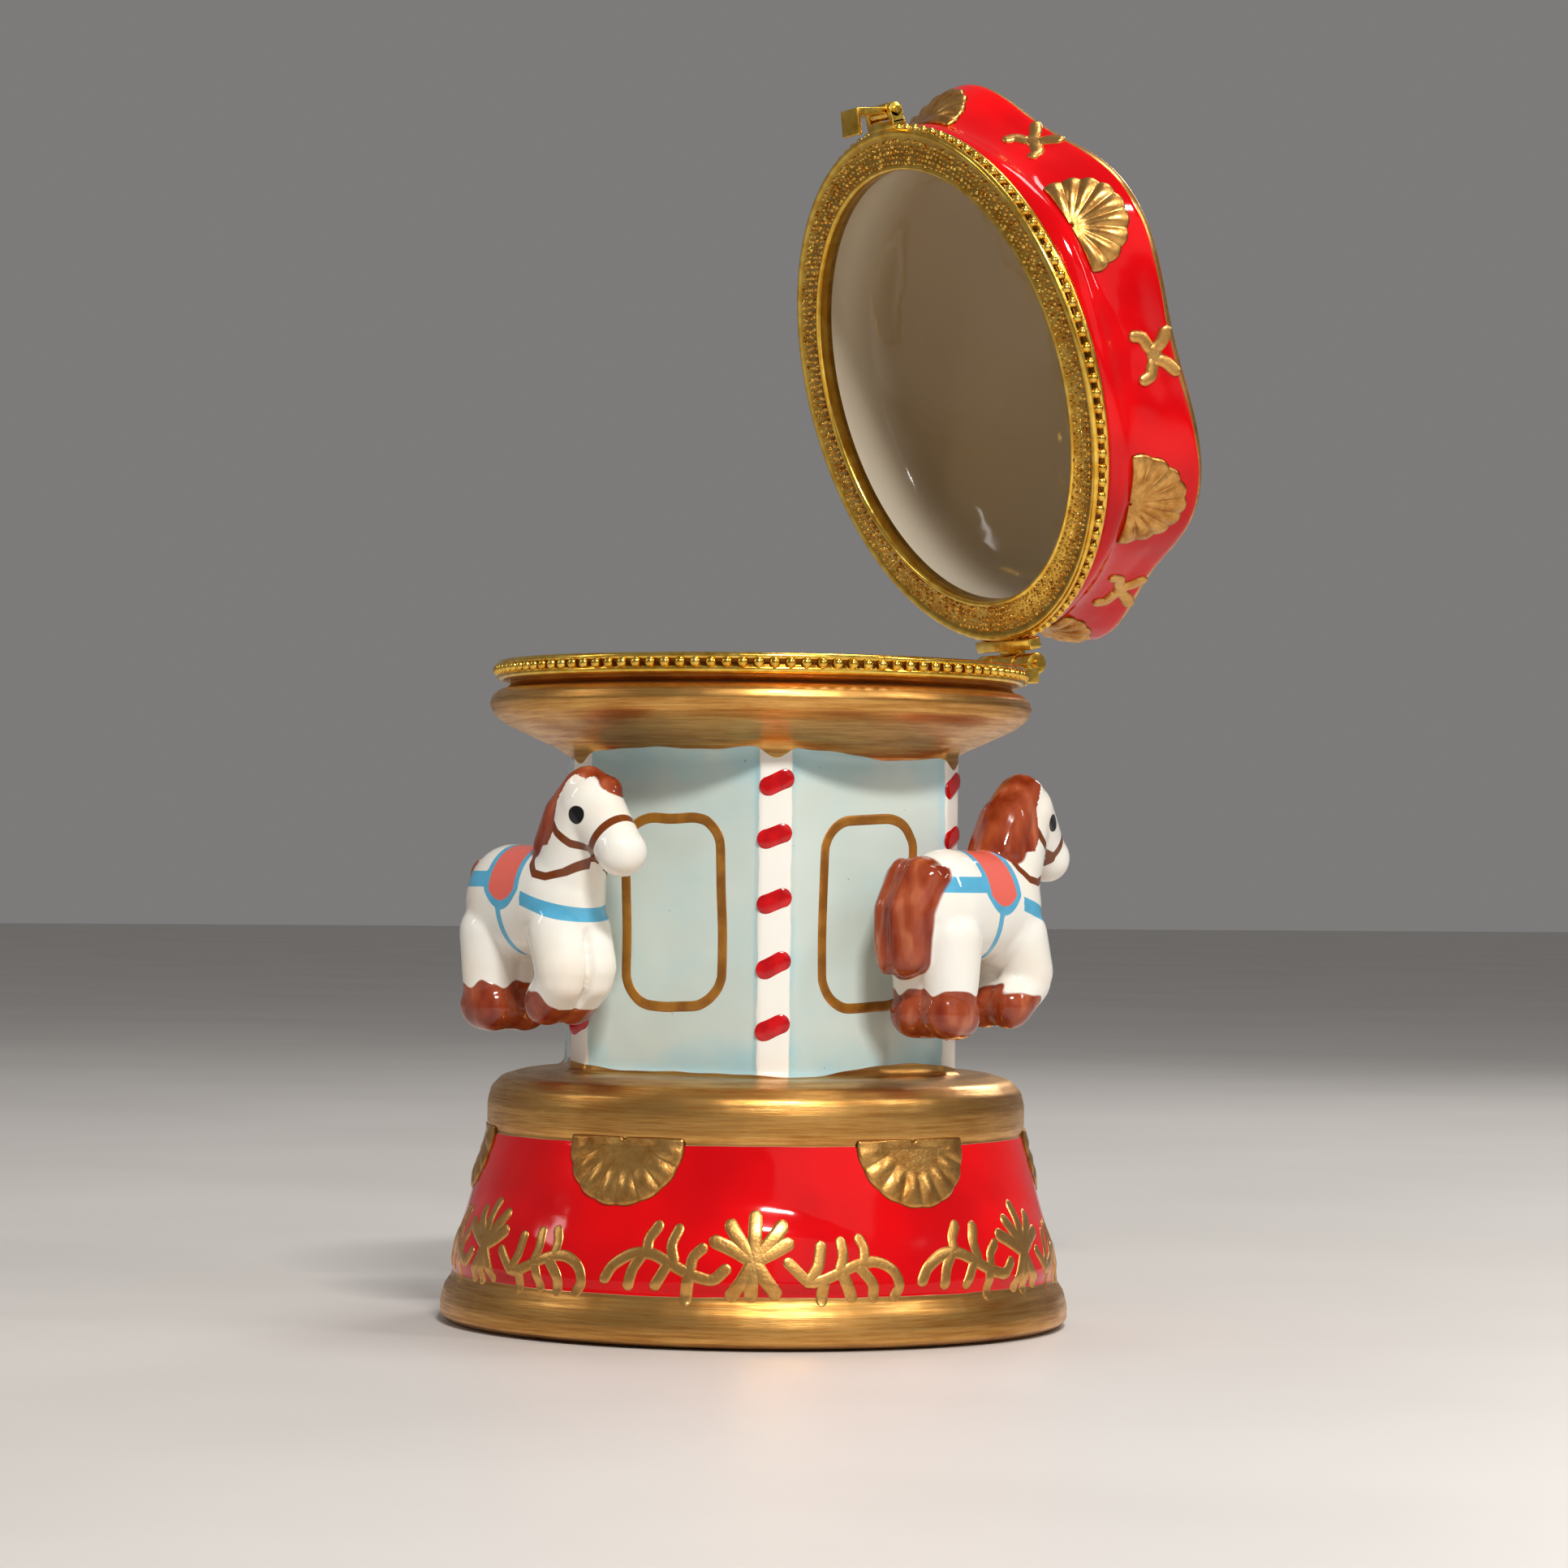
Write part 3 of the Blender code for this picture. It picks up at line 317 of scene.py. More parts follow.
RED = srgb(226, 2, 8)
DEEP_RED = srgb(196, 0, 8)
CREAM = srgb(236, 229, 212)
WHITE = srgb(240, 237, 228)
CELADON = srgb(208, 220, 212)
POOL_BLUE = srgb(174, 212, 218)
PALE_GOLD = srgb(232, 180, 104)
DEEP_GOLD = srgb(164, 102, 38)
GILT = srgb(252, 212, 98)
DARK_GILT = srgb(226, 172, 60)
CHESTNUT = srgb(122, 38, 14)
MID_CHESTNUT = srgb(156, 68, 36)
LIGHT_CHESTNUT = srgb(196, 116, 80)
SADDLE_PINK = srgb(232, 106, 92)
HARNESS_BLUE = srgb(92, 184, 226)
TACK_BROWN = srgb(116, 54, 10)
WINDOW_GOLD = srgb(176, 118, 40)


def gold_paint(shade, streaks=(0.10, 0.10, 2.6)):
    """Colour and roughness of brushed gold lustre: fine streaks run round the piece."""
    streak = shade.noise(1.0, 5.0, stretch=streaks, rough=0.7)
    patch = shade.noise(0.10, 3.0)
    tone = shade.plus(shade.times(streak, 0.75), shade.times(patch, 0.25))
    color = shade.mix(shade.remap(tone, 0.25, 0.72), DEEP_GOLD, PALE_GOLD)
    rough = shade.remap(tone, 0.3, 0.7, 0.40, 0.29)
    return color, rough, streak


def material_body():
    """Painted porcelain: red skirt, gold bands, pale glazed panels, white posts, cream inside."""
    shade = Shade("body_paint")
    pool = shade.times(shade.noise(0.09, 3.0), shade.attribute("pool"))
    panel = shade.mix(shade.remap(pool, 0.22, 0.62), CELADON, POOL_BLUE)
    panel = shade.mix(shade.remap(shade.noise(0.05, 2.0), 0.35, 0.75, 0.0, 0.5), panel, srgb(184, 196, 186))
    speck = shade.remap(shade.cells(0.20), 0.040, 0.022)
    panel = shade.mix(shade.times(speck, 0.5), panel, srgb(96, 92, 78))
    color = shade.mix(shade.inside("post"), panel, WHITE)
    color = shade.mix(shade.inside("inner"), color, CREAM)
    depth = shade.remap(shade.noise(0.06, 2.0), 0.35, 0.7)
    color = shade.mix(shade.inside("red"), color, shade.mix(depth, RED, DEEP_RED))
    gold_color, gold_rough, streak = gold_paint(shade)
    gold = shade.inside("gold", 0.06)
    color = shade.mix(gold, color, gold_color)
    color = shade.mix(shade.inside("bare"), color, srgb(214, 206, 190))
    rough = shade.blend(gold, shade.remap(shade.noise(0.08, 2.0), 0.3, 0.7, 0.07, 0.13), gold_rough)
    rough = shade.blend(shade.inside("bare"), rough, 0.7)
    ripple = shade.plus(shade.times(shade.noise(0.11, 2.0), 0.8),
                        shade.times(shade.times(streak, gold), 0.10))
    return shade.set(color=color, rough=rough, metal=gold, normal=shade.bump(ripple, 0.35), specular=0.30)


def material_lid():
    """Red glaze outside, a gold line on the scalloped edge, cream glaze inside the bowl with painted shade deeper
    in it.
    """
    shade = Shade("lid_paint")
    depth = shade.remap(shade.noise(0.07, 2.0), 0.35, 0.7)
    red = shade.mix(depth, RED, DEEP_RED)
    # Painted shade: the cream inside the bowl turns darker and browner deeper in the bowl.
    uneven_depth = shade.plus(shade.attribute("depth"), shade.times(shade.noise(0.04, 2.0), 3.0))
    deep = shade.remap(uneven_depth, 7.0, 14.5)
    inner = shade.mix(deep, srgb(232, 222, 202), srgb(164, 142, 108))
    color = shade.mix(shade.inside("inner"), red, inner)
    gold_color, gold_rough, streak = gold_paint(shade, (0.4, 0.4, 0.4))
    gold = shade.inside("gold", 0.06)
    color = shade.mix(gold, color, gold_color)
    rough = shade.blend(gold, shade.remap(shade.noise(0.09, 2.0), 0.3, 0.7, 0.06, 0.12), gold_rough)
    ripple = shade.plus(shade.noise(0.10, 2.0), shade.times(shade.times(streak, gold), 0.12))
    return shade.set(color=color, rough=rough, metal=gold, normal=shade.bump(ripple, 0.35), specular=0.30)


def material_gold_relief():
    """Gold lustre over moulded ornament, with painted shade: dark brown where it lies low."""
    shade = Shade("gold_relief")
    gold_color, gold_rough, streak = gold_paint(shade, (0.5, 0.5, 0.5))
    # Painted shade: the low parts of the relief are mixed towards dark brown.
    low = shade.remap(shade.attribute("height"), 0.0, 0.5)
    color = shade.mix(low, srgb(112, 66, 20), gold_color)
    ripple = shade.plus(shade.noise(1.6, 3.0), shade.times(streak, 0.6))
    return shade.set(color=color, rough=gold_rough, metal=1.0, normal=shade.bump(ripple, 0.05))


def material_gold_stroke():
    """Brushed-on gold: bright, with thin worn spots."""
    shade = Shade("gold_stroke")
    gold_color, gold_rough, _ = gold_paint(shade, (0.6, 0.6, 0.6))
    color = shade.mix(0.35, gold_color, PALE_GOLD)
    return shade.set(color=color, rough=gold_rough, metal=1.0, normal=shade.bump(shade.noise(2.2, 3.0), 0.04))


def material_window():
    """Brown-gold brush line, darker where the brush paused."""
    shade = Shade("window_line")
    tone = shade.remap(shade.noise(0.35, 3.0), 0.35, 0.65)
    color = shade.mix(tone, srgb(146, 92, 28), WINDOW_GOLD)
    return shade.set(color=color, rough=shade.remap(shade.noise(0.8), 0.3, 0.7, 0.28, 0.42), metal=0.35,
                     normal=shade.bump(shade.noise(1.2, 3.0), 0.05))


def material_red_stroke():
    shade = Shade("red_stroke")
    tone = shade.remap(shade.noise(0.5, 2.0), 0.35, 0.65)
    color = shade.mix(tone, srgb(206, 8, 14), srgb(176, 0, 10))
    return shade.set(color=color, rough=shade.remap(shade.noise(0.6), 0.3, 0.7, 0.09, 0.16), ior=1.52,
                     normal=shade.bump(shade.noise(0.5, 2.0), 0.05))


def material_gilt(name, sunk=False):
    """Bright rolled brass, with painted shade: dark brown in its channels where the sunk values say."""
    shade = Shade(name)
    tone = shade.remap(shade.noise(0.5, 3.0), 0.3, 0.7)
    bright = shade.mix(tone, DARK_GILT, GILT)
    if sunk:
        # Painted shade: the channels marked by the sunk values are mixed towards dark brown.
        bright = shade.mix(shade.remap(shade.attribute("sunk"), 0.3, 0.9), bright, srgb(112, 66, 18))
    rough = shade.remap(shade.noise(0.9, 2.0), 0.3, 0.7, 0.16, 0.26)
    return shade.set(color=bright, rough=rough, metal=1.0,
                     normal=shade.bump(shade.noise(0.5, 2.0), 0.012))


def material_grain(name):
    """Struck brass grains, lighter and darker at random; the brown between them is painted shade on the rim's
    floor.
    """
    shade = Shade(name)
    tone = shade.remap(shade.noise(1.1, 3.0), 0.35, 0.65)
    color = shade.mix(tone, srgb(176, 112, 30), srgb(252, 208, 104))
    rough = shade.remap(shade.noise(1.3, 2.0), 0.3, 0.7, 0.10, 0.30)
    return shade.set(color=color, rough=rough, metal=1.0, normal=shade.bump(shade.noise(2.4, 2.0), 0.04))


def material_horse():
    """Cream glaze with hand-painted coat markings, saddle and harness."""
    shade = Shade("horse_paint")
    blush = shade.remap(shade.noise(0.12, 2.0), 0.4, 0.75, 0.0, 0.5)
    color = shade.mix(blush, WHITE, srgb(238, 222, 198))
    harness = shade.mix(shade.noise(0.4), HARNESS_BLUE, srgb(84, 160, 190))
    color = shade.mix(shade.inside("blue"), color, harness)
    color = shade.mix(shade.inside("pink"), color, SADDLE_PINK)
    color = shade.mix(shade.inside("tack"), color, TACK_BROWN)
    streak = shade.noise(0.55, 2.0, stretch=(0.8, 0.8, 0.30), rough=0.4)
    hair = shade.mix(shade.remap(streak, 0.28, 0.62), CHESTNUT, MID_CHESTNUT)
    hair = shade.mix(shade.remap(streak, 0.56, 0.80, 0.0, 0.8), hair, LIGHT_CHESTNUT)
    hair_mask = shade.inside("hair", 0.12)
    color = shade.mix(hair_mask, color, hair)
    color = shade.mix(shade.inside("eye"), color, (0.004, 0.004, 0.004))
    rough = shade.remap(shade.noise(0.15, 2.0), 0.3, 0.7, 0.06, 0.13)
    ripple = shade.plus(shade.times(shade.noise(0.16, 2.0), 0.7),
                        shade.times(shade.times(streak, hair_mask), 0.5))
    return shade.set(color=color, rough=rough, normal=shade.bump(ripple, 0.3), ior=1.52, sss=0.06,
                     sss_scale=0.002)


def material_metal(name, light, dark, rough, stretch=(1.0, 1.0, 1.0)):
    """Machined metal with a faint lay and some handling marks."""
    shade = Shade(name)
    lay = shade.noise(1.4, 3.0, stretch=stretch)
    color = shade.mix(shade.remap(lay, 0.35, 0.65), dark, light)
    marks = shade.remap(shade.noise(0.3, 3.0), 0.4, 0.7, rough, rough + 0.15)
    return shade.set(color=color, rough=marks, metal=1.0, normal=shade.bump(lay, 0.02))


def material_plastic(name, light, dark, rough):
    """Moulded plastic with fine spark-eroded texture."""
    shade = Shade(name)
    tone = shade.remap(shade.noise(0.2, 3.0), 0.3, 0.7)
    marks = shade.remap(shade.noise(0.5), 0.3, 0.7, rough, rough + 0.15)
    return shade.set(color=shade.mix(tone, dark, light), rough=marks,
                     normal=shade.bump(shade.noise(3.0, 2.0), 0.03))


# ------------------------------------------------------------------------------ porcelain body

def hexagon_radius(azimuth):
    """Distance from the axis to the column's side, with six slightly raised corner posts."""
    to_face = np.abs((np.degrees(azimuth) - FACE_AZIMUTH + 30) % 60 - 30)
    to_post = 30 - to_face
    face = COLUMN_APOTHEM / np.cos(np.radians(to_face))
    post = POST_FACE_R / np.cos(np.radians(to_post))
    sharp = 5.0
    soft = -np.log(np.exp(-sharp * face) + np.exp(-sharp * post)) / sharp
    across = np.radians(to_post) * POST_FACE_R
    return soft + 0.30 * smoothstep(2.55, 1.95, across)


OUTSIDE = -5.0  # a painted distance that is well outside its area
CAVITY_CEILING = 30.3
BOX_FLOOR = 35.0
COLUMN_TOP = 75.6
FLOWER_AZIMUTH = -29.2
SKIRT_SWELL = 0.85
SKIRT = [(41.6, 0.0), (FOOT_R, 0.7), (FOOT_R, 2.4), (42.0, 4.4), (41.1, 5.7), (40.9, 6.6), (40.3, 10.1),
         (39.3, 14.0), (38.2, 17.8), (37.2, 21.6), (36.35, 25.0)]
RING = [(36.1, 25.5), (36.45, 26.3), (36.45, 29.2), (36.0, 31.1), (34.6, 32.6), (32.0, 33.4), (30.6, 33.6)]
CORNICE = [(29.6, 77.9), (31.6, 78.8), (34.6, 80.2), (36.3, 81.5), (36.9, 83.0), (36.5, 84.1), (35.6, 84.85),
           (34.5, 85.2), (34.1, 85.7), (34.1, 87.7)]


def skirt_lobe(azimuth, height):
    """How far the skirt swells out in a lobe behind each flower."""
    middle = 0.5 + 0.5 * np.cos(6 * (azimuth - math.radians(FLOWER_AZIMUTH)))
    top = 14.6 + 4.0 * middle
    upright = smoothstep(top, top - 4.5, height) * smoothstep(6.4, 8.2, height)
    return SKIRT_SWELL * upright * (0.35 + 0.65 * middle)


def skirt_radius(height, azimuth):
    radii, heights = zip(*SKIRT[2:])
    return np.interp(height, heights, radii) + skirt_lobe(azimuth, height)


def body_rings(azimuth):
    """Rows of points from the cavity's ceiling, out over the foot, up the outside and down inside the box."""
    rows, kinds = [], []

    def add_row(radius, height, kind="out"):
        rows.append(circle_row(radius, azimuth, height))
        kinds.append(kind)

    def turned_rows(line, kind):
        for radius, height in line:
            add_row(radius, height, kind)

    turned_rows([(2.0, CAVITY_CEILING), (20, CAVITY_CEILING), (32.0, CAVITY_CEILING), (32.4, 30.0), (32.8, 25),
                 (34.6, 18), (36.2, 10), (36.2, 2.8), (36.4, 2.7), (37.5, 2.7), (37.6, 2.5), (37.6, 0.2),
                 (37.9, 0.0)], "bare")
    for radius, height in rounded(SKIRT, 0.45):
        add_row(radius + skirt_lobe(azimuth, np.full_like(azimuth, height)), height)
    turned_rows(rounded(RING, 0.45), "out")
    side = hexagon_radius(azimuth)
    for height, extra in ((33.7, 0.9), (33.95, 0.45), (34.3, 0.15), (34.8, 0.0)):
        add_row(np.minimum(side + extra, 30.3), height)
    for height in np.arange(35.4, COLUMN_TOP, 0.6):
        add_row(side, height)
    for share in np.linspace(0.08, 1.0, 12):
        round_r = 28.2 + 1.2 * share ** 2
        add_row(side * (1 - share) + round_r * share + 0.25 * share * (1 - share), COLUMN_TOP + 2.2 * share)
    turned_rows(rounded(CORNICE, 0.4), "out")
    turned_rows([(33.9, 87.8), (31.8, 87.8), (31.6, 87.6)], "in")
    turned_rows(rounded([(31.6, 87.0), (31.6, 83.5), (29.4, 80.2), (24.2, 77.0), (22.0, 73.5), (21.5, 68),
                         (21.5, 50), (21.5, 38), (20.8, 36), (18.5, 35.1), (10, BOX_FLOOR),
                         (2.0, BOX_FLOOR)], 1.6), "in")
    return np.array(rows), np.array(kinds)


def build_body():
    azimuth = np.arange(AROUND) * 2 * math.pi / AROUND
    rings, kinds = body_rings(azimuth)
    body = loft("painted_body", rings, start_pole=(0, 0, CAVITY_CEILING), end_pole=(0, 0, BOX_FLOOR))
    height = rings[..., 2]
    turn = np.broadcast_to(azimuth, height.shape)
    outside = np.broadcast_to((kinds == "out")[:, None], height.shape)

    low_band = 6.35 + wobble(turn, 0.14, 1) - height
    red = np.where(outside, np.minimum(-low_band, 25.3 + wobble(turn, 0.12, 2) - height), OUTSIDE)
    climb = 0.5 + 0.5 * np.sin(3 * turn + 0.6)
    ring_top = 34.1 + 1.3 * climb ** 3 + wobble(turn, 0.30, 3)
    ring = np.minimum(height - 25.3 - wobble(turn, 0.12, 2), ring_top - height)
    to_post = np.abs((np.degrees(turn) - POST_AZIMUTH + 30) % 60 - 30)
    drip = 1.5 * smoothstep(6.0, 0.0, to_post)
    top = height - (76.9 - 1.6 * climb ** 2 + wobble(turn, 0.40, 4) - drip)
    gold = np.where(outside, np.maximum(np.maximum(low_band, ring), top), OUTSIDE)
    across = np.radians(to_post) * POST_FACE_R
    post = np.where(outside & (height > 33), 2.12 + wobble(height * 0.16 + turn, 0.10, 5) - across, OUTSIDE)
    inner = np.where(np.broadcast_to((kinds == "in")[:, None], height.shape), 1.0, OUTSIDE)
    bare = np.where(np.broadcast_to((kinds == "bare")[:, None], height.shape), 1.0, OUTSIDE)
    edge = np.minimum(np.abs(height - 34.5), np.abs(height - 76.5))
    pool = 0.55 + 0.45 * smoothstep(6.0, 0.5, edge) + 0.25 * smoothstep(3.4, 2.2, across)
    for name, values in (("gold", gold), ("red", red), ("post", post), ("inner", inner), ("bare", bare),
                         ("pool", pool)):
        poles = [values.ravel()[0], values.ravel()[-1]]
        add_values(body.data, name, np.concatenate([values.ravel(), poles]))
    finish_piece(body, material_body(), "base", ["body_shell"])


# --------------------------------------------------------- painted strokes laid over a surface

def stroke_tube(path, half_width, height, place, sink=0.05):
    """Rings of points of one brush stroke: a low round-ended mound along a path of (u, v) in millimetres.

    place(u, v) gives points on the surface and its outward normals."""
    line = catmull(path, 0.35)
    steps = np.linalg.norm(np.diff(line, axis=0), axis=1)
    along = np.concatenate([[0], np.cumsum(steps)])
    length = along[-1]
    caps = half_width * np.array([1.0, 0.94, 0.8, 0.55, 0.28])
    stations = np.concatenate([-caps, [0.0], along[1:-1], [length], length + caps[::-1]])
    over = np.maximum(np.maximum(-stations, stations - length), 0)
    width = half_width * np.sqrt(np.maximum(0.0, 1 - (over / half_width) ** 2)) + 0.02
    centre = np.stack([np.interp(stations, along, line[:, 0]), np.interp(stations, along, line[:, 1])], 1)
    start = (line[1] - line[0]) / max(1e-9, np.linalg.norm(line[1] - line[0]))
    end = (line[-1] - line[-2]) / max(1e-9, np.linalg.norm(line[-1] - line[-2]))
    centre += np.minimum(stations, 0)[:, None] * start + np.maximum(stations - length, 0)[:, None] * end
    tangent = np.gradient(centre, axis=0)
    tangent /= np.linalg.norm(tangent, axis=1)[:, None] + 1e-12
    side = np.stack([-tangent[:, 1], tangent[:, 0]], 1)
    across = np.array([-1.0, -0.85, -0.5, 0.0, 0.5, 0.85, 1.0])
    rise = np.array([-sink, 0.55 * height, 0.88 * height, height, 0.88 * height, 0.55 * height, -sink])
    rings = []
    for c, s, w in zip(centre, side, width):
        spot = c + s * (across * w)[:, None]
        points, normals = place(spot[:, 0], spot[:, 1])
        lift = np.where(rise > 0, rise * min(1.0, w / half_width + 0.15), rise)
        top = points + normals * lift[:, None]
        floor = points[[6, 0]] - normals[[6, 0]] * (sink + 0.1)
        rings.append(np.vstack([top, floor]))
    return np.array(rings)


def strokes_piece(name, strokes, matrix=SHUT):
    """One object from several strokes, each closed at both ends."""
    points, faces = [], []
    for rings in strokes:
        offset = len(points)
        rows, columns = rings.shape[:2]
        points.extend(rings.reshape(-1, 3))
        faces.extend(ring_faces(rows, columns, offset))
        faces.append(tuple(offset + j for j in range(columns))[::-1])
        faces.append(tuple(offset + (rows - 1) * columns + j for j in range(columns)))
    return mesh_piece(name, points, faces, matrix)


def on_skirt(azimuth):
    """Surface of the skirt round an azimuth: u runs round it and v is the height."""
    def place(u, v):
        angle = math.radians(azimuth) + u / 40.0
        radius = skirt_radius(v, angle)
        slope = skirt_radius(v + 0.5, angle) - skirt_radius(v - 0.5, angle)
        normal = np.stack([np.cos(angle), np.sin(angle), -slope], 1)
        normal /= np.linalg.norm(normal, axis=1)[:, None]
        return np.stack([radius * np.cos(angle), radius * np.sin(angle), v], 1), normal
    return place


def on_plane(azimuth, distance):
    """A flat side of the column: u runs across it and v is the height."""
    angle = math.radians(azimuth)
    out = np.array([math.cos(angle), math.sin(angle), 0.0])
    side = np.array([-math.sin(angle), math.cos(angle), 0.0])

    def place(u, v):
        points = distance * out + np.outer(u, side) + np.outer(v, [0, 0, 1.0])
        return points, np.broadcast_to(out, points.shape)
    return place


FLOWER_HEIGHT = 11.0
FLOWER_PETALS = ((0.2, 6.3), (-3.3, 4.9), (-5.7, 2.8), (4.0, 4.9), (4.8, 2.5), (-2.9, -4.6), (-0.4, -4.9),
                 (2.9, -4.4))
RIGHT_VINE = (
    ((4.3, -0.2), (6.7, -2.5), (8.2, -2.5), (10.5, -1.6), (13.3, -0.5), (15.9, -0.2), (18.1, -1.3), (18.9, -3.2),
     (18.2, -4.6)),
    ((6.7, -2.5), (7.9, -0.6), (8.4, 1.9)), ((10.8, -1.3), (11.4, 0.6), (11.3, 2.5)),
    ((14.3, 0.0), (14.4, 1.6), (13.9, 2.7)), ((8.6, -2.9), (8.4, -4.8)), ((11.4, -1.9), (12.4, -4.4)),
    ((13.6, -1.0), (15.1, -2.9), (15.2, -4.6)))
LEFT_VINE = (
    ((-3.6, -1.1), (-5.1, -2.4), (-7.0, -2.1), (-8.9, -1.4), (-11.1, -0.3), (-13.3, 0.6), (-15.9, 0.5),
     (-18.4, -1.0), (-19.5, -2.7)),
    ((-7.9, -1.3), (-7.6, 0.3), (-6.5, 1.4)), ((-10.1, 0.0), (-10.5, 1.9), (-9.8, 3.8)),
    ((-13.9, 1.3), (-13.8, 2.5), (-12.8, 4.0)), ((-8.2, -1.9), (-8.6, -4.9)), ((-11.1, -1.0), (-12.4, -3.3)),
    ((-14.6, 0.5), (-15.7, -1.3), (-16.2, -3.3)))


def build_skirt_flowers():
    gold = material_gold_stroke()
    for i in range(6):
        place = on_skirt(60.0 * i + FLOWER_AZIMUTH)
        random = np.random.default_rng(20 + i)
        strokes = []
        for tip in FLOWER_PETALS:
            tip = np.array(tip) * random.uniform(0.93, 1.05)
            strokes.append((0.10 * tip, 0.55 * tip + random.uniform(-0.15, 0.15, 2), 0.9 * tip, 0.95))
        petals = [stroke_tube(np.array(points) + (0, FLOWER_HEIGHT), width, 0.15, place)
                  for *points, width in strokes]
        for branch in LEFT_VINE + RIGHT_VINE:
            line = np.array(branch) + (0, FLOWER_HEIGHT) + random.uniform(-0.12, 0.12, 2)
            petals.append(stroke_tube(line, random.uniform(0.74, 0.84), 0.13, place))
        piece = strokes_piece(f"skirt_flower_{i + 1}", petals)
        finish_piece(piece, gold, "base")


def build_windows():
    """A hand-drawn window line on each face of the column."""
    line_paint = material_window()
    for i in range(6):
        random = np.random.default_rng(40 + i)
        place = on_plane(FACE_AZIMUTH + 60 * i, COLUMN_APOTHEM)
        half, low, high, corner = 6.9 + random.uniform(-0.25, 0.35), 42.9, 67.6, 4.3
        loop = []
        for cu, cv, start, ahead in ((half - corner, high - corner, 0, (-1, 0)),
                                     (corner - half, high - corner, 90, (0, -1)),
                                     (corner - half, low + corner, 180, (1, 0)),
                                     (half - corner, low + corner, 270, (0, 1))):
            for step in range(7):
                angle = math.radians(start + 15 * step)
                loop.append((cu + corner * math.cos(angle), cv + corner * math.sin(angle)))
            end = np.array(loop[-1])
            run = 2 * (half - corner) if ahead[0] else high - low - 2 * corner
            for share in (0.33, 0.67):
                loop.append(tuple(end + np.array(ahead) * run * share))
        loop = np.array(loop)
        loop[:, 0] += 0.22 * np.sin(loop[:, 1] * 0.21 + 2 * i) + random.uniform(-0.04, 0.04, len(loop))
        loop[:, 1] += 0.18 * np.sin(loop[:, 0] * 0.35 + i) + random.uniform(-0.04, 0.04, len(loop))
        loop = np.vstack([loop, loop[:2]])
        piece = strokes_piece(f"window_line_{i + 1}", [stroke_tube(loop, 0.68, 0.10, place, sink=0.02)])
        finish_piece(piece, line_paint, "base")


def build_post_dashes():
    """Five slanting red dashes on each corner post."""
    red = material_red_stroke()
    for i in range(6):
        random = np.random.default_rng(60 + i)
        place = on_plane(POST_AZIMUTH + 60 * i, POST_FACE_R + 0.30)
        strokes = []
        for height in (40.3, 48.2, 57.0, 65.3, 72.2):
            middle = np.array([random.uniform(-0.12, 0.12), height + random.uniform(-0.25, 0.25)])
            reach = np.array([1.0, 0.50 + random.uniform(-0.1, 0.2)])
            strokes.append(stroke_tube(np.array([middle - reach, middle, middle + reach]), 1.30, 0.12, place))
        finish_piece(strokes_piece(f"post_dashes_{i + 1}", strokes), red, "base")


# --------------------------------------------------------------------------- moulded gold shells

def shell_patch(name, place, half_width, depth, ribs, relief, matrix, flip=1.0, scallops=0.045,
                rib_start=0.15):
    """A ribbed half-fan: it hangs from its hinge line by depth, with a scalloped outer edge."""
    rows, columns = 30, 12 * ribs + 1
    spread = np.linspace(-1, 1, columns)
    points, heights = [], []
    for r in np.linspace(0.04, 1.0, rows):
        angle = spread * math.pi / 2
        scallop = 1 + scallops * np.abs(np.sin((spread + 1) * ribs * math.pi / 2)) * smoothstep(0.6, 1.0, r)
        u = half_width * r * scallop * np.sin(angle)
        v = -depth * r * scallop * np.cos(angle) ** 0.9 * flip
        rib = np.abs(np.sin((spread + 1) * ribs * math.pi / 2))
        dome = math.sin(math.pi * min(1.0, 0.18 + 0.82 * r) ** 1.6) ** 0.6 if r < 1 else 0.0
        rise = relief * (0.35 + 0.65 * rib * smoothstep(rib_start, 0.8, r)) * dome + 0.12
        rise = np.where(r >= 1.0, -0.25, rise)
        spot, normal = place(u, v)
        points.append(spot + normal * np.asarray(rise)[:, None])
        heights.append(np.broadcast_to(rise, spread.shape))
    points, heights = np.array(points), np.array(heights)
    faces = []
    for i in range(rows - 1):
        for j in range(columns - 1):
            a = i * columns + j
            faces.append((a, a + 1, a + columns + 1, a + columns))
    base_points = points.copy()
    for i, r in enumerate(np.linspace(0.04, 1.0, rows)):
        angle = spread * math.pi / 2
        spot, normal = place(half_width * r * np.sin(angle), -depth * r * np.cos(angle) ** 0.9 * flip)
        base_points[i] = spot - normal * 0.6
    offset = rows * columns
    for i in range(rows - 1):
        for j in range(columns - 1):
            a = offset + i * columns + j
            faces.append((a + columns, a + columns + 1, a + 1, a))
    rim = list(range(columns)) + [i * columns + columns - 1 for i in range(1, rows)]
    rim += [(rows - 1) * columns + j for j in range(columns - 2, -1, -1)]
    rim += [i * columns for i in range(rows - 2, 0, -1)]
    for a, b in zip(rim, rim[1:] + rim[:1]):
        faces.append((a, b, b + offset, a + offset))
    piece = mesh_piece(name, np.vstack([points.reshape(-1, 3), base_points.reshape(-1, 3)]), faces, matrix)
    add_values(piece.data, "height", np.concatenate([heights.ravel(), np.zeros(offset)]) / max(relief, 0.1))
    return piece


def build_skirt_shells():
    relief = material_gold_relief()
    for i in range(6):
        around = on_skirt(FACE_AZIMUTH + 60 * i + (0.0, 0.9, -0.8, 0.6, -0.4, -1.9)[i])
        place = lambda u, v, around=around: around(u, v + 26.1)
        piece = shell_patch(f"skirt_shell_{i + 1}", place, 9.3, 8.8, 8, 0.62, SHUT, scallops=0.018,
                            rib_start=0.45)
        finish_piece(piece, relief, "base")


# -------------------------------------------------------------------------------------- lid

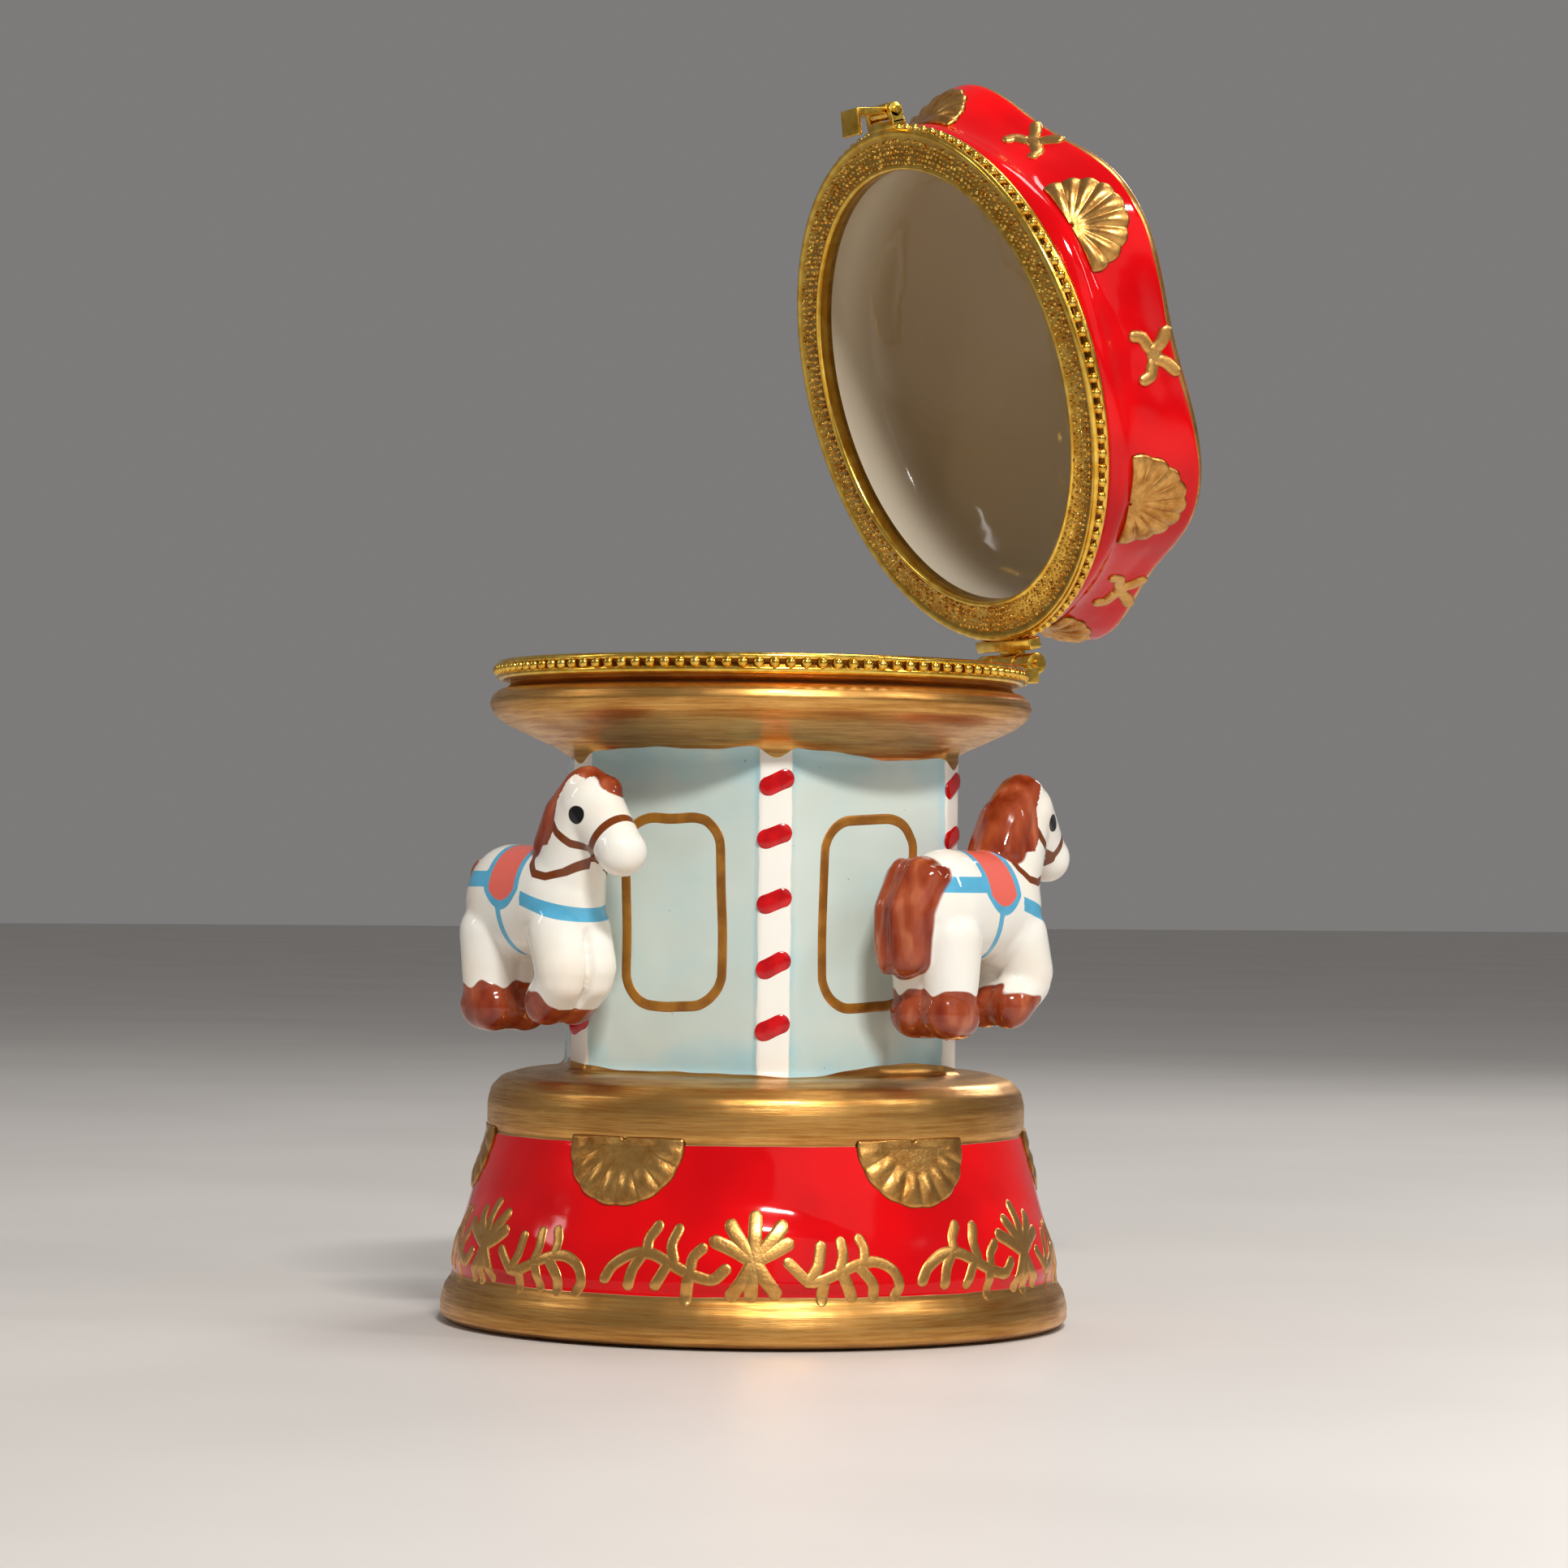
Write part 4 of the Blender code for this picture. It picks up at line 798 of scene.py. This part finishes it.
BOWL_TOP = 19.4
FINIAL_TOP = 31.0
LID_WALL = [(34.4, 2.9), (35.3, 3.4), (36.0, 5.0), (35.7, 6.6), (36.2, 8.4), (37.4, 11.0), (38.5, 13.4),
            (39.0, 14.8), (38.5, 15.7), (35.4, 16.5), (28, 18.2), (18, 20.6), (9, 23.0),
            (4.5, 24.5), (2.2, 25.3), (1.6, 26.1),
            (2.1, 27.0), (2.6, 28.2), (2.4, 29.5), (1.5, 30.5), (0.5, 30.95)]
LID_BOWL = [(31.7, 1.0), (31.8, 3.0), (32.2, 6.5), (31.6, 10.0), (28.6, 13.4), (22, 16.2), (13, 18.2),
            (1.5, BOWL_TOP)]


def lobe_swell(azimuth, radius, height):
    """How far the lid's wall stands out in its six lobes, or in where it is negative, in a valley."""
    reach = np.clip((height - 3.2) / 9.0, 0, 1) * np.clip((radius - 33.0) / 3.0, 0, 1)
    valley = 0.5 + 0.5 * np.cos(6 * azimuth)
    return reach * (1.1 - 3.7 * valley)


def lid_wall_radius(azimuth, height):
    heights = [h for r, h in LID_WALL[:8]]
    radii = [r for r, h in LID_WALL[:8]]
    radius = np.interp(height, heights, radii)
    return radius + lobe_swell(azimuth, radius, height)


def on_lid(azimuth):
    """The lid's wall round an azimuth: u runs round it and v is the height over the mating plane."""
    def place(u, v):
        angle = math.radians(azimuth) + u / 37.5
        radius = lid_wall_radius(angle, v)
        ahead = lid_wall_radius(angle + 0.01, v)
        above = lid_wall_radius(angle, v + 0.4)
        points = np.stack([radius * np.cos(angle), radius * np.sin(angle), v + LID_BASE], 1)
        round_step = np.stack([ahead * np.cos(angle + 0.01), ahead * np.sin(angle + 0.01),
                               v + LID_BASE], 1) - points
        up_step = np.stack([above * np.cos(angle), above * np.sin(angle), v + 0.4 + LID_BASE], 1) - points
        normal = np.cross(round_step, up_step)
        return points, normal / np.linalg.norm(normal, axis=1)[:, None]
    return place


def build_lid():
    azimuth = np.arange(AROUND) * 2 * math.pi / AROUND
    wall = catmull(LID_WALL[:8], 0.5)[:-1]
    edge = catmull(LID_WALL[7:10], 0.25)[:-1]
    roof = catmull(LID_WALL[9:], 0.6)
    profile = [(point, "out") for point in np.vstack([wall, edge, roof])]
    bowl = [(point, "in") for point in catmull(LID_BOWL, 1.0)]
    profile = bowl[::-1] + [(np.array([33.0, 1.0]), "rim"), (np.array([34.3, 1.1]), "rim")] + profile
    rings = []
    for (radius, height), kind in profile:
        swell = lobe_swell(azimuth, np.full_like(azimuth, radius), height) if kind == "out" else 0.0
        rings.append(circle_row(radius + swell, azimuth, height + LID_BASE))
    rings = np.array(rings)
    lid = loft("painted_lid", rings, start_pole=(0, 0, LID_BASE + BOWL_TOP),
               end_pole=(0, 0, LID_BASE + FINIAL_TOP), matrix=LID_OPEN)
    radius, height = np.array([point for point, kind in profile]).T[:, :, None]
    turn = np.broadcast_to(azimuth, rings.shape[:2])
    line = 0.42 + wobble(turn, 0.10, 6) - np.abs(height - 15.15 - wobble(turn, 0.2, 7))
    finial = height - 24.6 + 0 * turn
    kinds = np.array([kind for point, kind in profile])[:, None]
    gold = np.where(kinds == "out", np.maximum(np.where(radius > 30, line, OUTSIDE), finial), OUTSIDE)
    inner = np.where(kinds == "out", OUTSIDE, 1.0) + 0 * turn
    for name, values, poles in (("gold", gold, (OUTSIDE, 5.0)), ("inner", inner, (1.0, OUTSIDE)),
                                ("depth", height + 0 * turn, (BOWL_TOP, FINIAL_TOP))):
        add_values(lid.data, name, np.concatenate([values.ravel(), poles]))
    finish_piece(lid, material_lid(), "lid", ["lid_shell"])


BOW_ARM = np.array([(3.2, 10.1), (2.7, 11.1), (0.8, 12.0), (1.3, 13.3), (2.7, 14.3)])


def build_lid_ornament():
    relief = material_gold_relief()
    stroke = material_gold_stroke()
    for i in range(6):
        around = on_lid(-30 + 60 * i + (0, 4, 0, -2, 1, 0)[i])
        place = lambda u, v, around=around: around(u, v + 6.6)
        piece = shell_patch(f"lid_shell_ornament_{i + 1}", place, 7.6, 6.9, 9, 0.7, LID_OPEN, flip=-1.0)
        finish_piece(piece, relief, "lid")
        place = on_lid(60 * i + (2, 6, -1, 1, 0, 2)[i])
        strokes = [stroke_tube(BOW_ARM * (side, 1), 0.92, 0.42, place) for side in (-1, 1)]
        strokes.append(stroke_tube(np.array([(-0.5, 12.2), (0.5, 12.2)]), 1.1, 0.44, place))
        finish_piece(strokes_piece(f"lid_bow_{i + 1}", strokes, LID_OPEN), stroke, "lid")


# ------------------------------------------------------------------------- bezels, beads and hinge

def bezel(name, outer, face_z, away, matrix, body, node):
    """A rolled rim: away is -1 where its open edge is below its face and +1 where it is above."""
    section = [(outer - 0.55, 0.0), (outer - 0.2, 0.10), (outer, 0.45), (outer - 0.05, 0.70), (outer - 0.28, 0.85),
               (outer - 0.28, 1.75), (outer - 0.05, 1.95), (outer, 2.3), (outer - 0.35, 2.7), (outer - 1.0, 2.8),
               (34.5, 2.75), (34.5, 0.8), (31.4, 0.8), (31.3, 2.4), (30.75, 2.4), (BEZEL_INNER_R, 0.5),
               (BEZEL_INNER_R + 0.15, 0.10), (BEZEL_INNER_R + 0.5, 0.0), (BEZEL_INNER_R + 0.8, 0.22),
               (outer - 1.0, 0.22)]
    azimuth = np.arange(AROUND) * 2 * math.pi / AROUND
    rings = [circle_row(radius, azimuth, face_z + away * drop) for radius, drop in section]
    piece = loft(name, rings, closed_rows=True, matrix=matrix)
    # Painted shade amounts: full in the channel behind the beads, less on the floor between the grains.
    sunk = np.zeros((len(section), AROUND))
    sunk[[4, 5]] = 1.0
    sunk[[18, 19]] = 0.55
    add_values(piece.data, "sunk", sunk.ravel())
    finish_piece(piece, material_gilt(f"{name}_gilt", sunk=True), body, [node])


def granules(name, outer, face_z, away, matrix, body):
    """The rim's face between its two smooth lips, struck into rows of small uneven grains."""
    random = np.random.default_rng(9)
    centres, sizes = [], []
    for row, radius in enumerate(np.arange(BEZEL_INNER_R + 1.1, outer - 1.15, 0.74)):
        count = int(2 * math.pi * radius / 0.92)
        for i in range(count):
            angle = 2 * math.pi * (i + 0.5 * (row % 2) + random.uniform(-0.2, 0.2)) / count
            distance = radius + random.uniform(-0.14, 0.14)
            centres.append((distance * math.cos(angle), distance * math.sin(angle), face_z + away * 0.31))
            sizes.append(random.uniform(0.26, 0.44))
    finish_piece(balls(name, centres, sizes, 1, matrix), material_grain(f"{name}_gilt"), body)


def balls(name, centres, sizes, subdivisions, matrix):
    """Closed balls, one at each centre, as one piece."""
    ball = bmesh.new()
    bmesh.ops.create_icosphere(ball, subdivisions=subdivisions, radius=1.0)
    unit = np.array([v.co for v in ball.verts])
    unit_faces = np.array([[v.index for v in f.verts] for f in ball.faces])
    ball.free()
    points = [np.array(centre) + unit * size for centre, size in zip(centres, sizes)]
    faces = [unit_faces + i * len(unit) for i in range(len(points))]
    return mesh_piece(name, np.vstack(points), np.vstack(faces).tolist(), matrix)


def bead_row(name, radius, height, count, size, matrix, body):
    """A row of small round beads half sunk in the rim's wall."""
    turns = 2 * math.pi * np.arange(count) / count
    centres = [(radius * math.cos(a), radius * math.sin(a), height) for a in turns]
    piece = balls(name, centres, [size] * count, 2, matrix)
    finish_piece(piece, material_gilt(f"{name}_gilt"), body)


def joined(name, parts, matrix=SHUT):
    """Union of closed bevelled blocks and bars, as one piece: each part is a function that fills a bmesh."""
    pieces = []
    for part in parts:
        bm = bmesh.new()
        part(bm)
        mesh = bpy.data.meshes.new("blank")
        bm.to_mesh(mesh)
        bm.free()
        pieces.append(new_object("blank", mesh))
    first = pieces[0]
    for other in pieces[1:]:
        modifier = first.modifiers.new("join", "BOOLEAN")
        modifier.operation = "UNION"
        modifier.object = other
    mesh = final_mesh(first)
    for item in pieces:
        bpy.data.objects.remove(item, do_unlink=True)
    mesh.transform(Matrix.Scale(MM, 4) @ matrix)
    mesh.name = name
    mesh.shade_smooth()
    mesh.set_sharp_from_angle(angle=math.radians(40))
    return new_object(name, mesh)


def block(low, high, bevel=0.2):
    def fill(bm):
        bmesh.ops.create_cube(bm, size=1.0)
        size = [b - a for a, b in zip(low, high)]
        middle = [(a + b) / 2 for a, b in zip(low, high)]
        bmesh.ops.transform(bm, matrix=Matrix.Translation(middle) @ Matrix.Diagonal((*size, 1)), verts=bm.verts)
        bmesh.ops.bevel(bm, geom=bm.edges[:], offset=bevel, segments=3, affect="EDGES", profile=0.5)
    return fill


def bar(low_x, high_x, y, z, radius, bevel=0.15):
    def fill(bm):
        bmesh.ops.create_cone(bm, cap_ends=True, segments=40, radius1=radius, radius2=radius, depth=high_x - low_x)
        ends = [e for e in bm.edges if abs(e.verts[0].co.z - e.verts[1].co.z) < 1e-6]
        bmesh.ops.bevel(bm, geom=ends, offset=bevel, segments=2, affect="EDGES", profile=0.5)
        turn = Matrix.Rotation(math.radians(90), 4, "Y")
        bmesh.ops.transform(bm, matrix=Matrix.Translation(((low_x + high_x) / 2, y, z)) @ turn, verts=bm.verts)
    return fill


def build_hinge():
    gilt = material_gilt("hinge_gilt")
    y, z = HINGE[1], HINGE[2]
    lower = [block((-7, 36.0, 86.9), (7, 38.6, 88.5))]
    for low, high in ((-7, -3.2), (3.2, 7)):
        lower += [block((low, 37.6, 87.3), (high, 40.5, 89.4)), bar(low, high, y, z, 1.5)]
    finish_piece(joined("hinge_leaf_low", lower), gilt, "base", ["hinge_lower_leaf"])
    upper = [block((-7, 36.5, LID_BASE + 0.4), (7, 38.1, LID_BASE + 2.4)),
             block((-2.7, 37.2, LID_BASE + 1.3), (2.7, 40.3, LID_BASE + 2.3)), bar(-2.7, 2.7, y, z, 1.5)]
    finish_piece(joined("hinge_leaf_high", upper, LID_OPEN), gilt, "lid", ["hinge_upper_leaf"])


def build_clasp():
    gilt = material_gilt("clasp_gilt")
    y, z = -38.9, LID_BASE + 1.5
    lug = [block((-3.45, -37.6, LID_BASE + 0.4), (3.45, -36.3, LID_BASE + 2.6))]
    for low, high in ((-3.45, -2.55), (2.55, 3.45)):
        lug += [block((low, -39.0, LID_BASE + 0.45), (high, -37.0, LID_BASE + 2.55)), bar(low, high, y, z, 1.08)]
    finish_piece(joined("clasp_block", lug, LID_OPEN), gilt, "lid", ["clasp_lug"])
    hook = LID_BASE - 4.1
    tongue = [block((-2.25, y - 0.5, hook), (2.25, y + 0.5, z)), bar(-2.25, 2.25, y, z, 1.15),
              block((-2.25, y - 0.45, hook), (2.25, -35.7, hook + 0.6), 0.15)]
    there = Matrix.Translation((0, y, z))
    tilt = there @ Matrix.Rotation(math.radians(-10), 4, "X") @ there.inverted()
    finish_piece(joined("clasp_hook", tongue, LID_OPEN @ tilt), gilt, "clasp", ["clasp_tongue"])


# ------------------------------------------------------------------------------------- horses

MANE = (((10.6, 0.4, 32.4), (7.0, 0.3, 28.8), 2.7, 3.2), ((7.0, 0.3, 28.8), (4.6, 0.2, 24.6), 3.2, 3.2))
MANE_WIDTH = 1.25
FORELOCK = (((13.8, 1.5, 31.9), (10.6, 0.8, 32.4), 1.9, 2.5),)
FORELOCK_WIDTH = 1.0
TAIL = (((-12.0, 1.2, 21.0), (-14.3, 1.5, 16.8), 2.8, 2.6), ((-14.3, 1.5, 16.8), (-14.5, 1.5, 10.4), 2.6, 2.3))
TAIL_WIDTH = 1.7
MUZZLE = np.array([17.6, 1.1, 24.0])
HEAD_BACK = np.array([11.2, 0.5, 29.6])


def horse_limbs():
    """Tapered limbs of the toy horse, which faces +X with its feet near z = 0: start, end, radii, width."""
    limbs = [((-7.2, 0, 17.3), (4.6, 0, 17.5), 7.6, 7.1, 0.77),
             ((5.6, 0, 15.0), (6.1, 0.2, 20.0), 5.9, 5.5, 0.90),
             ((6.6, 0.2, 20.5), (10.0, 0.4, 28.4), 5.3, 4.8, 0.86),
             ((11.2, 0.5, 29.6), (16.4, 1.0, 25.2), 4.8, 3.6, 0.86),
             ((17.4, 1.1, 24.2), (17.8, 1.1, 23.9), 3.3, 3.3, 1.0),
             ((-9.8, 0, 3.2), (-8.0, 0, 3.2), 3.1, 3.1, 1.0),
             ((6.8, 0, 5.2), (5.2, 0, 4.2), 2.9, 2.8, 1.0)]
    for parts, width in ((MANE, MANE_WIDTH), (FORELOCK, FORELOCK_WIDTH), (TAIL, TAIL_WIDTH)):
        limbs += [(*part, width) for part in parts]
    for side in (-1, 1):
        limbs += [((-9.0, 1.8 * side, 13.0), (-9.0, 2.4 * side, 4.0), 4.7, 3.4, 1.0),
                  ((-10.0, 2.4 * side, 3.4), (-7.8, 2.4 * side, 3.2), 3.4, 3.3, 1.0),
                  ((7.0, 1.5 * side, 13.5), (8.7, 1.8 * side, 8.8), 4.3, 3.9, 1.0),
                  ((8.7, 1.9 * side, 7.4), (5.0, 2.0 * side, 4.2), 3.5, 3.1, 1.0)]
    return limbs


def limb_mesh(bm, start, end, start_radius, end_radius, width):
    start, end = Vector(start), Vector(end)
    turn = (end - start).to_track_quat("Z", "Y").to_matrix().to_4x4()
    for vertex in bmesh.ops.create_uvsphere(bm, u_segments=32, v_segments=20, radius=1.0)["verts"]:
        radius = end_radius if vertex.co.z > 0 else start_radius
        offset = turn @ (vertex.co * radius)
        offset.y *= width
        vertex.co = (end if vertex.co.z > 0 else start) + offset


def reach(points, parts, width):
    """How deep points lie inside a chain of tapered limbs, in millimetres."""
    best = np.full(len(points), -99.0)
    flat = points.copy()
    flat[:, 1] /= width
    for start, end, r0, r1 in parts:
        a, b = np.array(start, float), np.array(end, float)
        t = np.clip(((flat - a) @ (b - a)) / ((b - a) @ (b - a)), 0, 1)
        best = np.maximum(best, r0 + (r1 - r0) * t - np.linalg.norm(flat - a - np.outer(t, b - a), axis=1))
    return best


def near_line(u, v, line):
    """Distance from (u, v) to a bent line."""
    best = np.full(len(u), 99.0)
    spot = np.stack([u, v], 1)
    line = np.array(line, float)
    for a, b in zip(line, line[1:]):
        t = np.clip(((spot - a) @ (b - a)) / ((b - a) @ (b - a)), 0, 1)
        best = np.minimum(best, np.linalg.norm(spot - a - np.outer(t, b - a), axis=1))
    return best


def horse_mesh():
    """One glazed skin over all the limbs, with carved strands and its paint as distances."""
    bm = bmesh.new()
    for limb in horse_limbs():
        limb_mesh(bm, *limb)
    mesh = bpy.data.meshes.new("horse_blank")
    bm.to_mesh(mesh)
    bm.free()
    blank = new_object("horse_blank", mesh)
    remesh = blank.modifiers.new("skin", "REMESH")
    remesh.mode = "VOXEL"
    remesh.voxel_size = 0.32
    smooth = blank.modifiers.new("glaze", "SMOOTH")
    smooth.factor = 0.5
    smooth.iterations = 14
    mesh = final_mesh(blank)
    bpy.data.objects.remove(blank, do_unlink=True)

    count = len(mesh.vertices)
    points = np.zeros(count * 3)
    mesh.vertices.foreach_get("co", points)
    points = points.reshape(-1, 3)
    normals = np.array([v.normal for v in mesh.vertices])
    mane, tail = reach(points, MANE, MANE_WIDTH), reach(points, TAIL, TAIL_WIDTH)
    forelock = reach(points, FORELOCK, FORELOCK_WIDTH)
    x, y, z = points.T
    strand = np.sin(1.9 * y + 1.1 * np.sin(0.30 * z + 0.4 * x)) + 0.4 * np.sin(4.3 * y + 0.5 * z)
    carve = 0.16 * strand * (smoothstep(-0.5, 0.2, tail) + 0.5 * smoothstep(-0.3, 0.2, mane))
    cleft = np.exp(-(y / 0.45) ** 2) * smoothstep(8.0, 10.0, x) * smoothstep(14.5, 12.0, z)
    carve -= 0.8 * cleft * smoothstep(0.2, 0.6, normals[:, 0])
    points = points + normals * carve[:, None]
    mesh.vertices.foreach_set("co", points.ravel())
    mesh.update()

    ragged = 0.45 * np.sin(0.9 * x + 1.1 * y) + 0.18 * np.sin(2.3 * y + 1.7 * x)
    hoof = np.where(x < -1.0, 6.3 + ragged - z, -9.0)
    heel = np.linalg.norm((points - (4.9, 0, 3.4)) * (0.80, 0.50, 1.0), axis=1)
    hoof = np.maximum(hoof, np.where(z < 7.6, 3.7 + 0.6 * ragged - heel, -9.0))
    nape = 0.9 - 0.9 * (x - 8.0 - 0.62 * (z - 26.5)) + 0.2 * ragged
    nape = np.where((z > 24.6) & (z < 35.0) & (x > 1.5), np.minimum(nape, 0.9 * (z - 24.6)), -9.0)
    hair = np.max([mane + 0.30, forelock + 0.35, np.where(z < 22.5, tail + 0.8, tail + 0.4), hoof,
                   np.where(nape > 0, nape, -9.0)], axis=0)
    brow = (y < -1.7 + 0.38 * (33.5 - z)) & (x > 9.0) & (z < 33.9)
    hair = np.where(brow & (hair < 2.2) & (tail < -2), np.minimum(hair, forelock - 0.1), hair)
    fall = np.abs(x + 1.7 - 0.06 * (24.0 - z))
    low = 17.4 + 0.16 * fall ** 2
    pink = np.minimum(3.0 - fall, z - low)
    border = np.minimum(4.1 - fall, z - low + 1.2)
    strap = np.where((x > 3.2) & (z < 22), 0.95 - np.abs(z - 17.6 + 0.26 * (x - 4.0)), -5)
    crupper = np.where(x < -4.2, 1.05 - np.abs(z - 20.2), -5)
    girth = np.where(z < low, 0.55 - np.abs(x + 2.0 - 0.05 * (17.0 - z)), -5)
    blue = np.max([border, strap, crupper, girth], axis=0)
    axis = (MUZZLE - HEAD_BACK) / np.linalg.norm(MUZZLE - HEAD_BACK)
    along = (points - MUZZLE) @ axis
    from_head = np.linalg.norm(points - MUZZLE - np.outer(along, axis), axis=1)
    below = (points - MUZZLE) @ np.array([axis[2], 0.0, -axis[0]])
    noseband = np.where(from_head < np.where(below > 0, 4.4, 9.0), 0.55 - np.abs(along + 2.2), -5)
    cheek = 0.52 - near_line(x, z, ((8.2, 28.0), (9.6, 26.4), (11.8, 24.9), (14.2, 24.3), (15.2, 23.9)))
    rein = 0.52 - near_line(x, z, ((15.2, 23.7), (13.2, 22.6), (10.6, 21.2), (8.0, 20.6), (5.6, 21.0),
                                   (4.0, 22.4), (3.4, 24.0)))
    cheek = np.where((np.abs(y - 0.6) > 2.0) & (z < 33), cheek, -5)
    tack = np.max([noseband, cheek, np.where(np.abs(y - 0.6) > 1.0, rein, -5)], axis=0)
    eye = np.where(np.abs(y - 0.5) > 2.0, 1.0 - np.hypot((x - 13.3) / 1.35, (z - 28.6) / 1.2), -5)
    for name, values in (("hair", hair), ("pink", pink), ("blue", blue), ("tack", tack), ("eye", eye)):
        add_values(mesh, name, values)
    mesh.shade_smooth()
    return mesh


def build_horses():
    paint = material_horse()
    pattern = horse_mesh()
    for i, (azimuth, yaw) in enumerate(HORSE_PLACES):
        mesh = pattern.copy()
        angle = math.radians(azimuth)
        spot = Matrix.Translation((HORSE_RADIUS * math.cos(angle), HORSE_RADIUS * math.sin(angle), HORSE_BASE))
        turn = Matrix.Rotation(angle + math.radians(90 + yaw), 4, "Z")
        mesh.transform(Matrix.Scale(MM, 4) @ spot @ turn)
        piece = new_object(f"painted_horse_{i + 1}", mesh)
        finish_piece(piece, paint, "base", [f"horse_{i + 1}"])


# ------------------------------------------------------------- pieces that keep their CAD shape

def finish_cad_nodes():
    """Detailed materials for the nodes that are shown as they are."""
    brass = material_metal("movement_brass", srgb(224, 186, 104), srgb(176, 134, 62), 0.22)
    steel = material_metal("bright_steel", srgb(206, 206, 208), srgb(156, 158, 162), 0.18, (1, 1, 6))
    blued = material_metal("blued_steel", srgb(74, 82, 104), srgb(36, 40, 54), 0.25)
    zinc = material_metal("cast_zinc", srgb(168, 170, 170), srgb(126, 128, 130), 0.42)
    black = material_plastic("black_plastic", srgb(44, 42, 42), srgb(30, 29, 30), 0.42)
    white = material_plastic("white_plastic", srgb(230, 228, 218), srgb(212, 208, 196), 0.35)
    gilt = material_gilt("pin_gilt")
    finishes = {"brass": brass, "gilt_brass": gilt, "comb_steel": steel, "screw_steel": steel,
                "arbor_steel": steel,
                "spring_steel": blued, "cast_zinc": zinc, "black_plastic": black, "white_plastic": white}
    slots = {part["node"]: part["material_slot"] for part in frame["record"]["subparts"]}
    for name, node in frame["nodes"].items():
        if slots[name] in finishes:
            node.data.materials.clear()
            node.data.materials.append(finishes[slots[name]])


# --------------------------------------------------------------------- floor, light and camera

VIEW_AZIMUTH = math.radians(60.5)
TARGET_Z = 60.26


def build_stage():
    bpy.ops.mesh.primitive_plane_add(size=8.0, location=(0, 0, -0.0004))
    floor = bpy.context.object
    floor.name = "pale_floor"
    shade = Shade("floor_paint")
    tone = shade.remap(shade.noise(0.01, 3.0), 0.3, 0.7)
    shade.set(color=shade.mix(tone, (0.62, 0.59, 0.56), (0.66, 0.63, 0.60)), rough=0.45)
    floor.data.materials.append(shade.material)
    world = bpy.data.worlds.new("studio")
    bpy.context.scene.world = world
    world.use_nodes = True
    world.node_tree.nodes["Background"].inputs[0].default_value = (0.78, 0.76, 0.75, 1.0)
    world.node_tree.nodes["Background"].inputs[1].default_value = 0.26
    bpy.context.scene.view_settings.view_transform = "Standard"


LIGHT_WARMTH = (1.0, 0.98, 0.95)
LIGHT_TARGET = (0, 0, 0.075)


def softbox(name, azimuth, distance, height, width, depth, power):
    """An area light at an azimuth from the viewer's direction, aimed at the box."""
    light = bpy.data.lights.new(name, "AREA")
    light.shape = "RECTANGLE"
    light.size, light.size_y = width, depth
    light.energy = power
    light.color = LIGHT_WARMTH
    lamp = new_object(name, light)
    angle = VIEW_AZIMUTH - math.pi / 2 + math.radians(azimuth)
    lamp.location = (distance * math.cos(angle), distance * math.sin(angle), height)
    lamp.rotation_euler = (Vector(LIGHT_TARGET) - lamp.location).to_track_quat("-Z", "Y").to_euler()


def build_lights():
    softbox("key_softbox", 13, 0.62, 0.62, 0.16, 0.06, 5.4)
    softbox("front_fill", 30, 1.10, 0.46, 0.80, 0.60, 0.8)
    softbox("left_strip", -84, 0.60, 0.40, 0.05, 0.30, 0.35)
    softbox("right_strip", 70, 0.58, 0.50, 0.04, 0.26, 0.8)
    softbox("top_softbox", 120, 0.25, 0.95, 0.26, 0.26, 2.4)
    softbox("back_rim", 150, 0.70, 0.45, 0.20, 0.20, 1.4)


def build_camera():
    """The camera stands 625 mm off at eye level with the column, on a 105 mm lens."""
    distance, side, pitch, roll = 624.8, 3.28, 0.0197, 0.0123
    camera_data = bpy.data.cameras.new("view")
    camera_data.lens = 105.3
    camera_data.sensor_width = 36.0
    camera_data.clip_start = 0.01
    camera = new_object("view", camera_data)
    turn = Matrix.Rotation(VIEW_AZIMUTH, 4, "Z")
    place = Matrix.Translation((side * MM, -distance * MM, TARGET_Z * MM))
    tilt = Matrix.Rotation(math.pi / 2 + pitch, 4, "X") @ Matrix.Rotation(roll, 4, "Z")
    camera.matrix_world = turn @ place @ tilt
    bpy.context.scene.camera = camera


build_body()
build_skirt_flowers()
build_skirt_shells()
build_windows()
build_post_dashes()
build_horses()
build_lid()
build_lid_ornament()
bezel("body_rim", BEZEL_R, RIM_Z, -1, SHUT, "base", "lower_bezel")
bezel("lid_rim", LID_BEZEL_R, LID_BASE, 1, LID_OPEN, "lid", "upper_bezel")
granules("body_rim_grains", BEZEL_R, RIM_Z, -1, SHUT, "base")
granules("lid_rim_grains", LID_BEZEL_R, LID_BASE, 1, LID_OPEN, "lid")
bead_row("body_beads", BEZEL_R - 0.20, RIM_Z - 1.30, 109, 0.74, SHUT, "base")
bead_row("lid_beads", LID_BEZEL_R - 0.20, LID_BASE + 1.30, 110, 0.74, LID_OPEN, "lid")
build_hinge()
build_clasp()
finish_cad_nodes()
build_stage()
build_lights()
build_camera()
